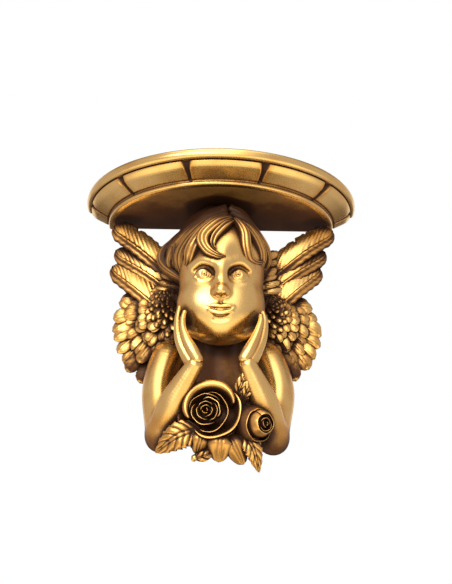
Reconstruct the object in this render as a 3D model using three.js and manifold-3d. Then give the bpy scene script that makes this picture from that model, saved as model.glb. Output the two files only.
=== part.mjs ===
// A wall corbel: a half-round moulded shelf carried on the head and wing tips of a winged cherub, who leans
// on its elbows with both hands at its cheeks, behind a rose, a rosebud and leaves. The whole bracket is one
// casting with a flat back that goes against a wall.
// Millimetres, +Z up. The wall is the plane y = 0 and the figure looks along -Y. The origin is on the back,
// on the centre line, level with the underside of the shelf.
import * as THREE from "three";
import { mergeVertices } from "three/addons/utils/BufferGeometryUtils.js";
import Module from "manifold-3d";

const wasm = await Module();
wasm.setup();

// Shelf sizes
const SHELF_WIDTH = 272;
const SHELF_DEPTH = 134;
const SHELF_THICKNESS = 27;
const RIM_HEIGHT = 10; // rounded band round the top
const RIM_ROUND = 4.5; // how far the band swells out
const TIER_INSET = 22; // from the rim in to the lower tier
const LIP_HEIGHT = 4; // rounded lip round the underside
const BLOCK_RISE = 8; // height of each block's sloping face
const BLOCK_BEVEL = 3.5; // bevel along each block's upper edge
const BLOCK_PITCH = 32.6; // degrees from one block to the next
const BLOCK_TURN = 2; // how far the ring of blocks is turned to the right, in degrees
const GROOVE = 3; // depth of the grooves round each block
const ROUND_STEPS = 40; // facets in a whole turn of the shelf

// Figure size: everything carved below the shelf keeps its place as hundredths of this height
const FIGURE_HEIGHT = 260;
const UNIT = FIGURE_HEIGHT / 100;

// A point of the carving: across, out from the wall and up, in hundredths of the figure's height
const at = (x, out, z) => new THREE.Vector3(x * UNIT, -out * UNIT, z * UNIT);

// Solids

function solid(geometry) {
  const plain = geometry.index ? geometry.toNonIndexed() : geometry;
  const bare = new THREE.BufferGeometry();
  bare.setAttribute("position", plain.getAttribute("position"));
  const merged = mergeVertices(bare, 1e-3);
  const kept = [];
  for (let i = 0; i < merged.index.count; i += 3) {
    const [a, b, c] = [0, 1, 2].map((n) => merged.index.getX(i + n));
    if (a !== b && b !== c && c !== a) kept.push(a, b, c);
  }
  const made = (triangles) =>
    new wasm.Manifold(
      new wasm.Mesh({
        numProp: 3,
        vertProperties: Float32Array.from(merged.attributes.position.array),
        triVerts: Uint32Array.from(triangles),
      }),
    );
  const first = made(kept);
  if (first.volume() >= 0) return first;
  const turned = [];
  for (let i = 0; i < kept.length; i += 3) turned.push(kept[i], kept[i + 2], kept[i + 1]);
  return made(turned);
}

const join = (solids) => solids.reduce((all, next) => all.add(next));

// A smooth value at share t along a row of evenly spaced values
function along(values, t) {
  const place = t * (values.length - 1);
  const first = Math.min(Math.floor(place), values.length - 2);
  const share = place - first;
  const eased = share * share * (3 - 2 * share);
  return values[first] * (1 - eased) + values[first + 1] * eased;
}

// A closed form swept along a smooth path. Its two ends are the poles of a sphere, and its rings crowd towards them.
// `wide` and `thick` are rows of half-sizes along it, in hundredths of the figure's height, `face` is the way its
// broad side looks, and `blunt` is the share of the path that each end takes to round off.
function sweep({ path, face, wide, thick, sides = 8, rings = 8, blunt = 0.12 }) {
  const curve = new THREE.CatmullRomCurve3(path, false, "centripetal");
  const geometry = new THREE.SphereGeometry(1, sides, rings);
  const places = geometry.getAttribute("position");
  for (let i = 0; i < places.count; i++) {
    const turn = Math.atan2(places.getZ(i), places.getX(i));
    const t = THREE.MathUtils.clamp((1 - places.getY(i)) / 2, 0, 1);
    const end = Math.min(1, Math.min(t, 1 - t) / blunt);
    const round = t < 1e-6 || t > 1 - 1e-6 ? 0 : Math.sqrt(Math.max(0, 1 - (1 - end) ** 2));
    const tangent = curve.getTangent(t);
    const side = new THREE.Vector3().crossVectors(tangent, face).normalize();
    const out = new THREE.Vector3().crossVectors(side, tangent).normalize();
    const point = curve
      .getPoint(t)
      .addScaledVector(side, Math.cos(turn) * along(wide, t) * round * UNIT)
      .addScaledVector(out, Math.sin(turn) * along(thick, t) * round * UNIT);
    places.setXYZ(i, point.x, point.y, point.z);
  }
  return solid(geometry);
}

// An ellipsoid centred on a point of the carving, with its three half-sizes in hundredths of the height
function ball(centre, across, out, up, sides = 12, rings = 8) {
  const geometry = new THREE.SphereGeometry(1, sides, rings);
  geometry.rotateX(Math.PI / 2);
  geometry.scale(across * UNIT, out * UNIT, up * UNIT);
  geometry.translate(centre.x, centre.y, centre.z);
  return solid(geometry);
}

const FRONT = new THREE.Vector3(0, -1, 0);

// Shelf: a full turned moulding, with grooves cut between its blocks, squeezed to the shelf's depth

function turned(points) {
  const geometry = new THREE.LatheGeometry(points, ROUND_STEPS);
  geometry.rotateX(Math.PI / 2);
  return geometry;
}

function shelf() {
  const radius = SHELF_WIDTH / 2;
  const tier = radius - TIER_INSET;
  const rimFoot = SHELF_THICKNESS - RIM_HEIGHT;
  const neck = radius - RIM_ROUND; // where the band springs from the slab
  const blockFoot = [tier, LIP_HEIGHT];
  const blockEdge = [neck - BLOCK_BEVEL, LIP_HEIGHT + BLOCK_RISE];
  const blockHead = [neck, LIP_HEIGHT + BLOCK_RISE + BLOCK_BEVEL];
  const arc = (steps, place) => Array.from({ length: steps }, (_, i) => place(((i + 1) / steps) * Math.PI));
  const points = [
    [0, 0],
    [tier - LIP_HEIGHT, 0],
    ...arc(2, (turn) => [tier - LIP_HEIGHT / 2 + 0.5 * LIP_HEIGHT * Math.sin(turn), 0.5 * LIP_HEIGHT * (1 - Math.cos(turn))]),
    blockFoot,
    blockEdge,
    blockHead,
    [neck - GROOVE / 2, rimFoot],
    ...arc(4, (turn) => [neck + RIM_ROUND * Math.sin(turn), rimFoot + (RIM_HEIGHT / 2) * (1 - Math.cos(turn))]),
    [0, SHELF_THICKNESS],
  ].map((place) => new THREE.Vector2(...place));
  const squeeze = (geometry) => geometry.scale(1, SHELF_DEPTH / radius, 1);
  let body = solid(squeeze(turned(points)));

  // Each groove is a bar along the sloping face of the blocks
  const slope = Math.atan2(blockHead[1] - blockFoot[1], blockHead[0] - blockFoot[0]);
  const run = Math.hypot(blockHead[1] - blockFoot[1], blockHead[0] - blockFoot[0]);
  const middle = [(blockHead[0] + blockFoot[0]) / 2, (blockHead[1] + blockFoot[1]) / 2];
  for (let turn = BLOCK_PITCH / 2; turn < 90 - BLOCK_TURN; turn += BLOCK_PITCH) {
    for (const side of [-1, 1]) {
      const bar = new THREE.BoxGeometry(run + GROOVE, GROOVE, 2 * GROOVE);
      bar.rotateY(-slope);
      bar.translate(middle[0], 0, middle[1]);
      bar.rotateZ(-Math.PI / 2 + THREE.MathUtils.degToRad(side * turn + BLOCK_TURN));
      body = body.subtract(solid(squeeze(bar)));
    }
  }
  return body;
}

// Head: a skull with a face pressed out of it. The sphere's pole is at the nose, so its rings crowd the face.

const HEAD = { x: 0.8, out: 23.5, z: -28.6, across: 16.4, deep: 19.6, tall: 26.6, lean: 25 };

// Soft mounds and hollows of a calm generic child's face: across and up from the head's middle, the spread each
// way, and the height, all in hundredths of the figure's height
const FACE = [
  [0, -13.4, 2.4, 1.9, 2.2], // tip of the nose
  [0, -10.0, 1.6, 3.4, 1.1], // bridge
  [-5.8, -7.8, 3.1, 2.1, -1.6], // eye sockets
  [5.8, -7.8, 3.1, 2.1, -1.6],
  [-5.8, -8.0, 2.2, 1.5, 1.3], // eyes
  [5.8, -8.0, 2.2, 1.5, 1.3],
  [-7.4, -14.8, 4.4, 3.9, 1.3], // cheeks
  [7.4, -14.8, 4.4, 3.9, 1.3],
  [0, -16.9, 2.9, 1.0, 1.5], // upper lip
  [0, -18.2, 3.6, 0.6, -1.0], // line of the mouth
  [0, -19.5, 2.6, 1.0, 1.5], // lower lip
  [0, -21.4, 2.6, 0.9, -0.7], // hollow over the chin
  [0, -23.6, 3.4, 2.0, 1.4], // chin
  [0, 0.5, 9.0, 5.0, 0.9], // brow
];

function head() {
  const rings = 16;
  const sides = 24;
  const lean = THREE.MathUtils.degToRad(HEAD.lean); // the sphere's pole is tipped down to the nose
  const geometry = new THREE.SphereGeometry(1, sides, rings);
  const places = geometry.getAttribute("position");
  for (let i = 0; i < places.count; i++) {
    const turn = Math.atan2(places.getZ(i), places.getX(i));
    const away = Math.PI * (Math.acos(THREE.MathUtils.clamp(places.getY(i), -1, 1)) / Math.PI) ** 1.35;
    const rise = Math.sin(away) * Math.sin(turn);
    const x = Math.sin(away) * Math.cos(turn);
    const out = Math.cos(away) * Math.cos(lean) + rise * Math.sin(lean);
    const z = rise * Math.cos(lean) - Math.cos(away) * Math.sin(lean);
    const jaw = 1 - 0.1 * Math.max(0, -z) ** 2;
    const across = x * HEAD.across * jaw;
    const up = z * HEAD.tall;
    let press = 0;
    for (const [px, pz, wide, tall, height] of FACE) {
      press += height * Math.exp(-(((across - px) / wide) ** 2) - ((up - pz) / tall) ** 2);
    }
    press *= Math.sqrt(Math.max(0, out));
    const place = at(HEAD.x + across, HEAD.out + out * HEAD.deep + press, HEAD.z + up);
    places.setXYZ(i, place.x, place.y, place.z);
  }
  return solid(geometry);
}

// Hair: a cap over the skull and wavy locks combed from the crown

const LOCKS = [
  { path: [[0.6, 33.0, -1.5], [-10.2, 30.5, -7.2], [-17.3, 25.5, -14.0], [-21.0, 22.5, -20.8]], wide: 3.4 },
  { path: [[2.0, 38.0, -7.5], [-7.0, 39.2, -15.2], [-14.0, 33.6, -23.0], [-17.6, 25.0, -29.0]], wide: 3.0 },
  { path: [[-18.6, 22.5, -16.5], [-19.8, 23.0, -24.7], [-18.0, 24.0, -31.2], [-14.6, 27.8, -38.0]], wide: 2.6 },
  { path: [[2.8, 40.4, -11.0], [-5.2, 42.0, -18.4], [-9.8, 40.6, -25.4], [-13.4, 36.4, -28.6]], wide: 2.6 },
  { path: [[4.5, 40.6, -12.0], [-2.3, 43.0, -16.8], [-6.0, 43.4, -22.1], [-3.4, 44.8, -27.0], [1.2, 45.2, -28.6]], wide: 2.2 },
  { path: [[5.2, 40.4, -14.2], [0.4, 42.6, -18.8], [-2.8, 43.2, -23.2]], wide: 1.9 },
  { path: [[4.1, 33.0, -2.4], [9.8, 31.0, -5.2], [14.3, 28.4, -11.0], [17.8, 24.5, -18.0]], wide: 3.2 },
  { path: [[5.6, 40.0, -12.0], [8.2, 42.2, -19.8], [9.4, 42.0, -26.0], [12.8, 39.0, -27.8], [16.8, 32.0, -23.4]], wide: 2.1 },
  { path: [[7.0, 39.8, -12.6], [11.6, 38.8, -17.8], [15.4, 34.2, -21.4]], wide: 2.4 },
  { path: [[17.6, 26.0, -17.5], [18.4, 26.0, -24.0], [16.6, 29.0, -31.4], [14.4, 32.0, -36.4]], wide: 2.4 },
  { path: [[14.0, 14.0, -6.0], [19.0, 15.0, -16.0], [19.0, 15.5, -27.0], [16.5, 16.0, -36.0]], wide: 4.2 },
  { path: [[-13.0, 14.0, -6.0], [-19.5, 14.5, -17.0], [-19.5, 15.0, -28.0], [-16.0, 16.0, -37.0]], wide: 4.2 },
];

function hair() {
  const middle = at(HEAD.x, HEAD.out, HEAD.z);
  const cap = ball(at(HEAD.x - 1.6, 20.5, -20.5), 20.0, 19.4, 21.0, 12, 7);
  const back = ball(at(HEAD.x, 9.0, -24.0), 16.5, 14.0, 22.0, 8, 5);
  const locks = LOCKS.map(({ path, wide }) => {
    const points = path.map((p) => at(...p));
    const face = points[Math.floor(points.length / 2)].clone().sub(middle).normalize();
    return sweep({
      path: points,
      face,
      wide: [0.5 * wide, wide, 0.9 * wide, 0.25 * wide],
      thick: [1.2, 1.9, 1.8, 0.7],
      sides: 5,
      rings: 6,
    });
  });
  return join([cap, back, ...locks]);
}

// Body, arms and hands

function torso() {
  const neck = sweep({
    path: [at(0.9, 19, -46), at(1.1, 21, -56), at(1.3, 22, -66)],
    face: FRONT,
    wide: [6.2, 6.0, 7.6],
    thick: [5.6, 5.6, 5.4],
    rings: 5,
    sides: 8,
  });
  const trunk = sweep({
    path: [at(0.6, 5, -48), at(0.7, 8, -60), at(1.0, 12, -72), at(1.2, 14, -86)],
    face: FRONT,
    wide: [17.5, 18, 15, 11.5],
    thick: [9, 14, 16, 11],
    sides: 10,
    rings: 6,
    blunt: 0.2,
  });
  const core = sweep({
    path: [at(0.8, 3, 6), at(0.8, 4, -30), at(0.8, 5, -60)],
    face: FRONT,
    wide: [11, 12, 16],
    thick: [5, 6, 7],
    sides: 8,
    rings: 6,
    blunt: 0.05,
  });
  const lap = ball(at(1.4, 28, -82.6), 12.5, 11.5, 6.6, 10, 6); // what the flowers lie on
  return join([neck, trunk, core, lap]);
}

const ARMS = {
  left: {
    side: -1,
    shoulder: [-18.0, 15, -56.0],
    upper: [-20.6, 22, -70.0],
    elbow: [-18.9, 29.4, -86.8],
    wrist: [-7.6, 42.3, -66.0],
    palm: [-10.0, 42.0, -58.4],
    knuckles: [-12.4, 39.5, -51.5],
    tip: [-13.9, 34.0, -43.0],
  },
  right: {
    side: 1,
    shoulder: [17.8, 15, -56.0],
    upper: [21.4, 22, -70.0],
    elbow: [19.7, 29.4, -87.0],
    wrist: [10.2, 42.3, -65.6],
    palm: [12.4, 42.0, -58.0],
    knuckles: [14.2, 39.5, -51.8],
    tip: [15.6, 34.0, -44.2],
  },
};

function arm({ side, shoulder, upper, elbow, wrist, palm, knuckles, tip }) {
  const upperArm = sweep({
    path: [at(shoulder[0] - side * 2, 8, shoulder[2] + 2), at(...shoulder), at(...upper), at(...elbow)],
    face: FRONT,
    wide: [6.2, 6.6, 5.8, 5.6],
    thick: [6.0, 6.8, 6.4, 6.0],
    rings: 6,
    sides: 8,
  });
  const foreArm = sweep({
    path: [
      at(elbow[0] - side * 0.8, elbow[1] - 1, elbow[2] - 3.2),
      at(elbow[0] * 0.62 + wrist[0] * 0.38, elbow[1] * 0.55 + wrist[1] * 0.45 + 0.8, elbow[2] * 0.6 + wrist[2] * 0.4),
      at(...wrist),
      at(...palm),
    ],
    face: FRONT,
    wide: [5.8, 5.0, 3.4, 3.0],
    thick: [5.8, 5.4, 3.4, 3.0],
    rings: 7,
    sides: 8,
    blunt: 0.16,
  });
  const across = new THREE.Vector3(side, -0.35, 0);
  const hand = sweep({
    path: [at(wrist[0], wrist[1], wrist[2] + 1), at(...palm), at(...knuckles)],
    face: across,
    wide: [2.6, 3.6, 3.8],
    thick: [2.4, 2.5, 1.9],
    sides: 6,
    rings: 5,
    blunt: 0.2,
  });
  const fingers = [0, 1, 2, 3].map((n) => {
    const back = n * 2.1 - 1.6;
    const reach = [0.72, 1.0, 1.06, 0.9][n];
    const start = at(knuckles[0], knuckles[1] + 1.2 - back, knuckles[2] - 1.5);
    const end = at(
      knuckles[0] + (tip[0] - knuckles[0]) * reach + side * (n - 1) * 0.5,
      knuckles[1] + (tip[1] - knuckles[1]) * reach + 2.2 - back,
      knuckles[2] + (tip[2] - knuckles[2]) * reach,
    );
    const bend = start.clone().lerp(end, 0.5).addScaledVector(across, 0.5 * UNIT);
    return sweep({
      path: [start, bend, end],
      face: across,
      wide: [1.2, 1.15, 0.95],
      thick: [1.2, 1.2, 0.95],
      sides: 5,
      rings: 4,
      blunt: 0.2,
    });
  });
  return join([upperArm, foreArm, hand, ...fingers]);
}

// Wings: three long flight feathers up to the shelf, and a fan of rounded feathers in rows below them

const WINGS = {
  left: {
    side: -1,
    centre: [-15.4, -34.1],
    reach: 22.6,
    growth: 0.152,
    flights: [
      { root: [-12.0, 9.2, -22.6], tip: [-41.8, 8.0, -1.7], wide: 3.7 },
      { root: [-12.0, 9.0, -28.4], tip: [-40.4, 6.6, -10.6], wide: 3.2 },
      { root: [-12.0, 8.6, -33.9], tip: [-40.6, 6.0, -17.6], wide: 3.3 },
    ],
  },
  right: {
    side: 1,
    centre: [16.8, -34.6],
    reach: 18.2,
    growth: 0.195,
    flights: [
      { root: [13.0, 9.2, -22.6], tip: [43.9, 8.0, -2.4], wide: 3.7 },
      { root: [13.0, 9.0, -28.3], tip: [41.0, 6.6, -10.2], wide: 3.2 },
      { root: [13.0, 8.6, -33.9], tip: [38.0, 6.0, -18.8], wide: 3.3 },
    ],
  },
};
const FAN = { rows: 3, count: 8, start: -8, end: 70, stand: 4.6 }; // turns in degrees below level

function wing({ side, centre, reach, growth, flights }) {
  const spread = (turn, share, out) => {
    const angle = THREE.MathUtils.degToRad(turn);
    const radius = (reach + growth * turn) * share;
    return at(centre[0] + side * radius * Math.cos(angle), out, centre[1] - radius * Math.sin(angle));
  };
  const parts = flights.map(({ root, tip, wide }) => {
    const start = at(...root);
    const end = at(...tip);
    return sweep({
      path: [start, start.clone().lerp(end, 0.5).add(at(0, 1.2, 0.9)), end],
      face: FRONT,
      wide: [0.6 * wide, wide, wide, 0.9 * wide],
      thick: [3.6, 3.4, 2.8, 2.0],
      sides: 6,
      rings: 5,
      blunt: 0.16,
    });
  });
  const step = (FAN.end - FAN.start) / (FAN.count - 1);
  for (let row = 0; row < FAN.rows; row++) {
    const share = 1 - 0.24 * row;
    for (let n = 0; n < FAN.count - row; n++) {
      const turn = FAN.start + step * (n + 0.5 * row);
      parts.push(
        sweep({
          path: [spread(turn, share - 0.34, FAN.stand + 3.4 * row), spread(turn, share, FAN.stand + 2.4 * row)],
          face: FRONT,
          wide: [1.6 * share, 2.7 * share, 2.7 * share],
          thick: [1.6, 2.0, 1.6],
          sides: row < 2 ? 5 : 4,
          rings: 4,
          blunt: 0.3,
        }),
      );
    }
  }

  // The bed that the feathers lie on, set back from their tips
  const bed = new THREE.Shape();
  const corners = [new THREE.Vector3((centre[0] - side * 6) * UNIT, 0, -12 * UNIT)];
  for (const { root, tip } of flights) corners.push(at(...root).lerp(at(...tip), 0.72));
  for (let n = 0; n < FAN.count; n++) corners.push(spread(FAN.start + step * n, 0.86, 0));
  corners.push(new THREE.Vector3((centre[0] - side * 6) * UNIT, 0, -60 * UNIT));
  corners.forEach((corner, n) => (n ? bed.lineTo(corner.x, corner.z) : bed.moveTo(corner.x, corner.z)));
  const slab = new THREE.ExtrudeGeometry(bed, { depth: FAN.stand * UNIT, bevelEnabled: false });
  slab.rotateX(Math.PI / 2);
  const shoulder = sweep({
    path: [at(centre[0] - side * 3, 4, -14), at(centre[0], 6, -32), at(centre[0] + side, 7, -52)],
    face: FRONT,
    wide: [4, 7, 6],
    thick: [4, 6, 6],
    rings: 4,
    sides: 5,
  });
  return join([solid(slab), shoulder, ...parts]);
}

// Rose, bud and leaves

// One petal: a wall along an arc about the flower's axis, leaning outwards
function petal(centre, axis, radius, start, span, height, lean) {
  const up = new THREE.Vector3(0, 0, 1);
  const side = new THREE.Vector3().crossVectors(up, axis).normalize();
  const top = new THREE.Vector3().crossVectors(axis, side).normalize();
  const path = [0, 0.5, 1].map((share) => {
    const turn = THREE.MathUtils.degToRad(start + span * share);
    const swell = radius * (1 + 0.08 * Math.sin(Math.PI * share));
    return centre
      .clone()
      .addScaledVector(side, Math.cos(turn) * swell * UNIT)
      .addScaledVector(top, Math.sin(turn) * swell * UNIT);
  });
  const outward = path[1].clone().sub(centre).normalize();
  const face = outward.clone().addScaledVector(axis, -lean).normalize();
  return sweep({
    path,
    face,
    wide: [0.5 * height, height, 0.5 * height],
    thick: [0.6, 0.8, 0.6],
    sides: 5,
    rings: 5,
    blunt: 0.25,
  });
}

function rose() {
  const centre = at(-1.4, 41, -81.2);
  const axis = new THREE.Vector3(-0.08, -1, -0.02).normalize();
  const out = (depth) => centre.clone().addScaledVector(axis, depth * UNIT);
  const parts = [ball(centre, 8.4, 5.0, 8.2, 10, 5)];
  for (let n = 0; n < 5; n++) parts.push(petal(out(0.6), axis, 8.6, 72 * n + 20, 92, 3.4, 0.55));
  for (let n = 0; n < 3; n++) parts.push(petal(out(2.4), axis, 5.4, 120 * n + 50, 130, 2.6, 0.2));
  for (let n = 0; n < 2; n++) parts.push(petal(out(3.4), axis, 3.0, 180 * n, 170, 2.4, 0.1));
  parts.push(ball(out(4.2), 1.6, 2.4, 1.6, 8, 6));
  return join(parts);
}

function bud() {
  const centre = at(12.6, 40.5, -85.6);
  const axis = new THREE.Vector3(0.45, -0.86, -0.1).normalize();
  const out = (depth) => centre.clone().addScaledVector(axis, depth * UNIT);
  const parts = [ball(centre, 5.6, 5.4, 5.6, 10, 6)];
  for (let n = 0; n < 3; n++) parts.push(petal(out(2.0), axis, 4.2, 120 * n + 60, 130, 3.4, 0.15));
  for (let n = 0; n < 2; n++) parts.push(petal(out(3.8), axis, 2.2, 180 * n, 170, 2.4, 0));
  return join(parts);
}

const LEAVES = [
  { root: [5.6, 36.0, -76.5], tip: [12.4, 38.6, -65.4], wide: 3.2 },
  { root: [-3.0, 38.5, -86.0], tip: [-19.0, 34.0, -94.6], wide: 3.8 },
  { root: [-2.6, 38.5, -87.0], tip: [-8.0, 35.5, -97.4], wide: 3.4 },
  { root: [0.2, 38.5, -87.0], tip: [10.6, 36.0, -96.0], wide: 3.9 },
  { root: [6.0, 36.5, -87.5], tip: [14.2, 34.6, -99.6], wide: 2.7 },
  { root: [7.5, 33.0, -78.0], tip: [17.5, 33.5, -82.0], wide: 3.2 },
];

// A leaf's four-sided section leaves a ridge down its middle
function leaf({ root, tip, wide }) {
  const start = at(...root);
  const end = at(...tip);
  return sweep({
    path: [start, start.clone().lerp(end, 0.5).add(at(0, 1.6, 0)), end],
    face: FRONT,
    wide: [0.4 * wide, wide, 0.15 * wide],
    thick: [1.8, 2.0, 0.8],
    sides: 4,
    rings: 6,
    blunt: 0.3,
  });
}

// Whole casting

const reach = 2 * SHELF_WIDTH;
const wallCut = new THREE.BoxGeometry(reach, reach, 2 * reach).translate(0, reach / 2, 0);
const topCut = new THREE.BoxGeometry(reach, reach, reach).translate(0, 0, SHELF_THICKNESS / 2 + reach / 2);
const figure = join([
  torso(),
  head(),
  hair(),
  arm(ARMS.left),
  arm(ARMS.right),
  wing(WINGS.left),
  wing(WINGS.right),
  rose(),
  bud(),
  ...LEAVES.map(leaf),
]);
const carved = figure.subtract(solid(topCut)).add(shelf()).subtract(solid(wallCut));

// Pockets closed in between overlapping forms are filled, as in a solid casting
const casting = join(carved.decompose().filter((shell) => shell.volume() > 0));

function meshOf(made) {
  const { numProp, numVert, vertProperties, triVerts } = made.getMesh();
  const places = new Float32Array(numVert * 3);
  for (let i = 0; i < numVert; i++) places.set(vertProperties.subarray(i * numProp, i * numProp + 3), i * 3);
  const geometry = new THREE.BufferGeometry();
  geometry.setAttribute("position", new THREE.BufferAttribute(places, 3));
  geometry.setIndex(new THREE.BufferAttribute(Uint32Array.from(triVerts), 1));
  geometry.computeVertexNormals();
  return geometry;
}

const gilding = new THREE.MeshStandardMaterial({ color: 0xc9952f, roughness: 0.34, metalness: 0.9 });
const corbel = new THREE.Mesh(meshOf(casting), gilding);
corbel.name = "angel_corbel";

const part = new THREE.Group();
part.add(corbel);

export default part;
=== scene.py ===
import bmesh
import bpy
import numpy as np
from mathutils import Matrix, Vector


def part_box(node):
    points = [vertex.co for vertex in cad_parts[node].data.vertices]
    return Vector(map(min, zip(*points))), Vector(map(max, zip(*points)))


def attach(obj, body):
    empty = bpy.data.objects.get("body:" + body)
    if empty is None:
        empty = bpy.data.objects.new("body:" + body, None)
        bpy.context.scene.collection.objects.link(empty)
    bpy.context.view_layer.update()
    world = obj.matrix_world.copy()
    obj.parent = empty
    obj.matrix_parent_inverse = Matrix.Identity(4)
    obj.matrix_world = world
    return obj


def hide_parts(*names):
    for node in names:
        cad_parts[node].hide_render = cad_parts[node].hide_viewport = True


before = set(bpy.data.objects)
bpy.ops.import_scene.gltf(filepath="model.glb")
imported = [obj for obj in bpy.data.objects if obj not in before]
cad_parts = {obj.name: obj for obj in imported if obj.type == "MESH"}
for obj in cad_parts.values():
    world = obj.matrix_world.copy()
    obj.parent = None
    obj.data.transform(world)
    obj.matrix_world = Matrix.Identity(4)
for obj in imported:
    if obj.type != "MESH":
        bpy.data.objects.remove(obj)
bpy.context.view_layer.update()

import openvdb
from mathutils import Matrix, Vector

# Camera. The bracket is seen from in front and from below, as one sees it over a doorway. The wall behind it
# is the plane y = 0, and the camera's target lies on the cherub's chest, half-way out from the wall.
TARGET = Vector((0.0065, -0.055, -0.085))
DISTANCE = 1.0
BELOW = np.radians(19.5)  # how far under the target the camera stands
ROLL = np.radians(1.0)
FOCAL_PIXELS = 1062.0
IMAGE_HEIGHT = 584.0
SENSOR = 36.0
NEAREST, FARTHEST = 0.01, 50.0
back = Vector((0, -np.cos(BELOW), -np.sin(BELOW)))
level = Vector((1, 0, 0))
upright = level.cross(-back)
right = level * np.cos(ROLL) + upright * np.sin(ROLL)
camera = bpy.data.objects.new("camera", bpy.data.cameras.new("camera"))
camera.data.sensor_width = SENSOR
camera.data.lens = FOCAL_PIXELS / IMAGE_HEIGHT * SENSOR
camera.data.clip_start, camera.data.clip_end = NEAREST, FARTHEST
camera.matrix_world = Matrix((right, back.cross(right), back)).transposed().to_4x4()
camera.location = TARGET + back * DISTANCE
bpy.context.collection.objects.link(camera)
bpy.context.scene.camera = camera


# Light. A studio with a white wall behind and a grey room in front, and one soft box, which give the gilding its
# broad highlights. The nodes of every tree in this file are made through the class below.
class Value:
    """A socket of a node tree. Sums and products of values add Math nodes to the tree."""

    def __init__(self, tree, socket=None):
        self.tree, self.socket = tree, socket

    def node(self, kind, settings=None, sockets=None, out=0):
        """One output of a new node, from the node's settings and the values or links of its sockets."""
        made = self.tree.nodes.new(kind)
        for name, setting in (settings or {}).items():
            setattr(made, name, setting)
        for name, value in (sockets or {}).items():
            if isinstance(value, Value):
                self.tree.links.new(value.socket, made.inputs[name])
            else:
                made.inputs[name].default_value = value
        return Value(self.tree, made.outputs[out] if made.outputs else None)

    def math(self, operation, *values):
        return self.node("ShaderNodeMath", {"operation": operation}, dict(enumerate(values)))

    def __add__(self, other):
        return self.math("ADD", self, other)

    def __sub__(self, other):
        return self.math("SUBTRACT", self, other)

    def __rsub__(self, other):
        return self.math("SUBTRACT", other, self)

    def __mul__(self, other):
        return self.math("MULTIPLY", self, other)

    __radd__, __rmul__ = __add__, __mul__

    def between(self, low, high):
        """0 where the value is low, 1 where it is high, with soft ends."""
        ends = {"Value": self, "From Min": low, "From Max": high}
        return self.node("ShaderNodeMapRange", {"interpolation_type": "SMOOTHSTEP"}, ends)

    def mixed(self, first, second):
        """The first colour where the value is 0, the second where it is 1."""
        colours = {0: self, 6: first, 7: second}
        return self.node("ShaderNodeMix", {"data_type": "RGBA"}, colours, 2)


WALL_WHITE = (1.0, 1.0, 1.0, 1.0)
ROOM = (0.56, 0.48, 0.47, 1.0)
DARK_CORNER = (0.10, 0.07, 0.06, 1.0)
CEILING = (0.24, 0.19, 0.15, 1.0)
UNDERFOOT = (0.16, 0.12, 0.08, 1.0)
BENCH = (1.5, 1.28, 0.9, 1.0)  # a lit bench low in front, which the chamfers and forearms mirror
WINDOW = (2.6, 2.35, 1.95, 1.0)  # a strip of soft light in front, from the ceiling down, a little to the left
# Where each part of the room begins or ends: two values of a direction's across, away or upward share
FRONT_EDGE = (-0.15, 0.3)
FLOOR_EDGE = (-0.98, -0.9)
WINDOW_LEFT, WINDOW_SIDES, WINDOW_FOOT = 0.05, (0.13, 0.52), (-0.5, -0.2)
BENCH_TOP = (-0.62, -0.4)
CORNER_EDGE, CORNER_TOP = (0.6, 0.85), (-0.15, -0.02)
CEILING_EDGE, CEILING_FOOT = (0.0, 0.3), (0.45, 0.75)
WALL_EDGE, WALL_FOOT = (0.62, 0.78), (-0.06, 0.02)
room = bpy.data.worlds.new("room")
room.use_nodes = True
room.node_tree.nodes.clear()
sky = Value(room.node_tree)
looking = sky.node("ShaderNodeTexCoord", out="Generated")
across, away, upward = (sky.node("ShaderNodeSeparateXYZ", {}, {0: looking}, axis) for axis in "XYZ")
in_front = 1 - away.between(*FRONT_EDGE)
above_floor = upward.between(*FLOOR_EDGE)
beside_window = sky.math("ABSOLUTE", across + WINDOW_LEFT).between(*WINDOW_SIDES)
in_window = (1 - beside_window) * in_front * upward.between(*WINDOW_FOOT)
on_bench = above_floor * (1 - upward.between(*BENCH_TOP)) * in_front
in_corner = away.between(*CORNER_EDGE) * (1 - upward.between(*CORNER_TOP))
on_ceiling = away.between(*CEILING_EDGE) * upward.between(*CEILING_FOOT)
on_wall = away.between(*WALL_EDGE) * upward.between(*WALL_FOOT)
room_colour = (1 - above_floor).mixed(ROOM, UNDERFOOT)
room_colour = on_bench.mixed(room_colour, BENCH)
room_colour = in_corner.mixed(room_colour, DARK_CORNER)
room_colour = on_ceiling.mixed(room_colour, CEILING)
room_colour = in_window.mixed(room_colour, WINDOW)
room_colour = on_wall.mixed(room_colour, WALL_WHITE)
shine = sky.node("ShaderNodeBackground", {}, {"Color": room_colour, "Strength": 1.0})
sky.node("ShaderNodeOutputWorld", {}, {"Surface": shine})
bpy.context.scene.world = room
bpy.context.scene.view_settings.view_transform = "Standard"

BOX_PLACE = Vector((-0.75, -1.7, 0.35))
BOX_FACES = Vector((0, -0.06, -0.08))
BOX_SIZE, BOX_WATTS, BOX_COLOUR = 1.0, 12, (1.0, 0.97, 0.92)
lamp = bpy.data.lights.new("soft box", "AREA")
lamp.shape = "RECTANGLE"
lamp.size = lamp.size_y = BOX_SIZE
lamp.energy, lamp.color = BOX_WATTS, BOX_COLOUR
soft_box = bpy.data.objects.new("soft box", lamp)
soft_box.location = BOX_PLACE
soft_box.rotation_euler = (BOX_FACES - BOX_PLACE).to_track_quat("-Z", "Y").to_euler()
bpy.context.collection.objects.link(soft_box)

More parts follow.
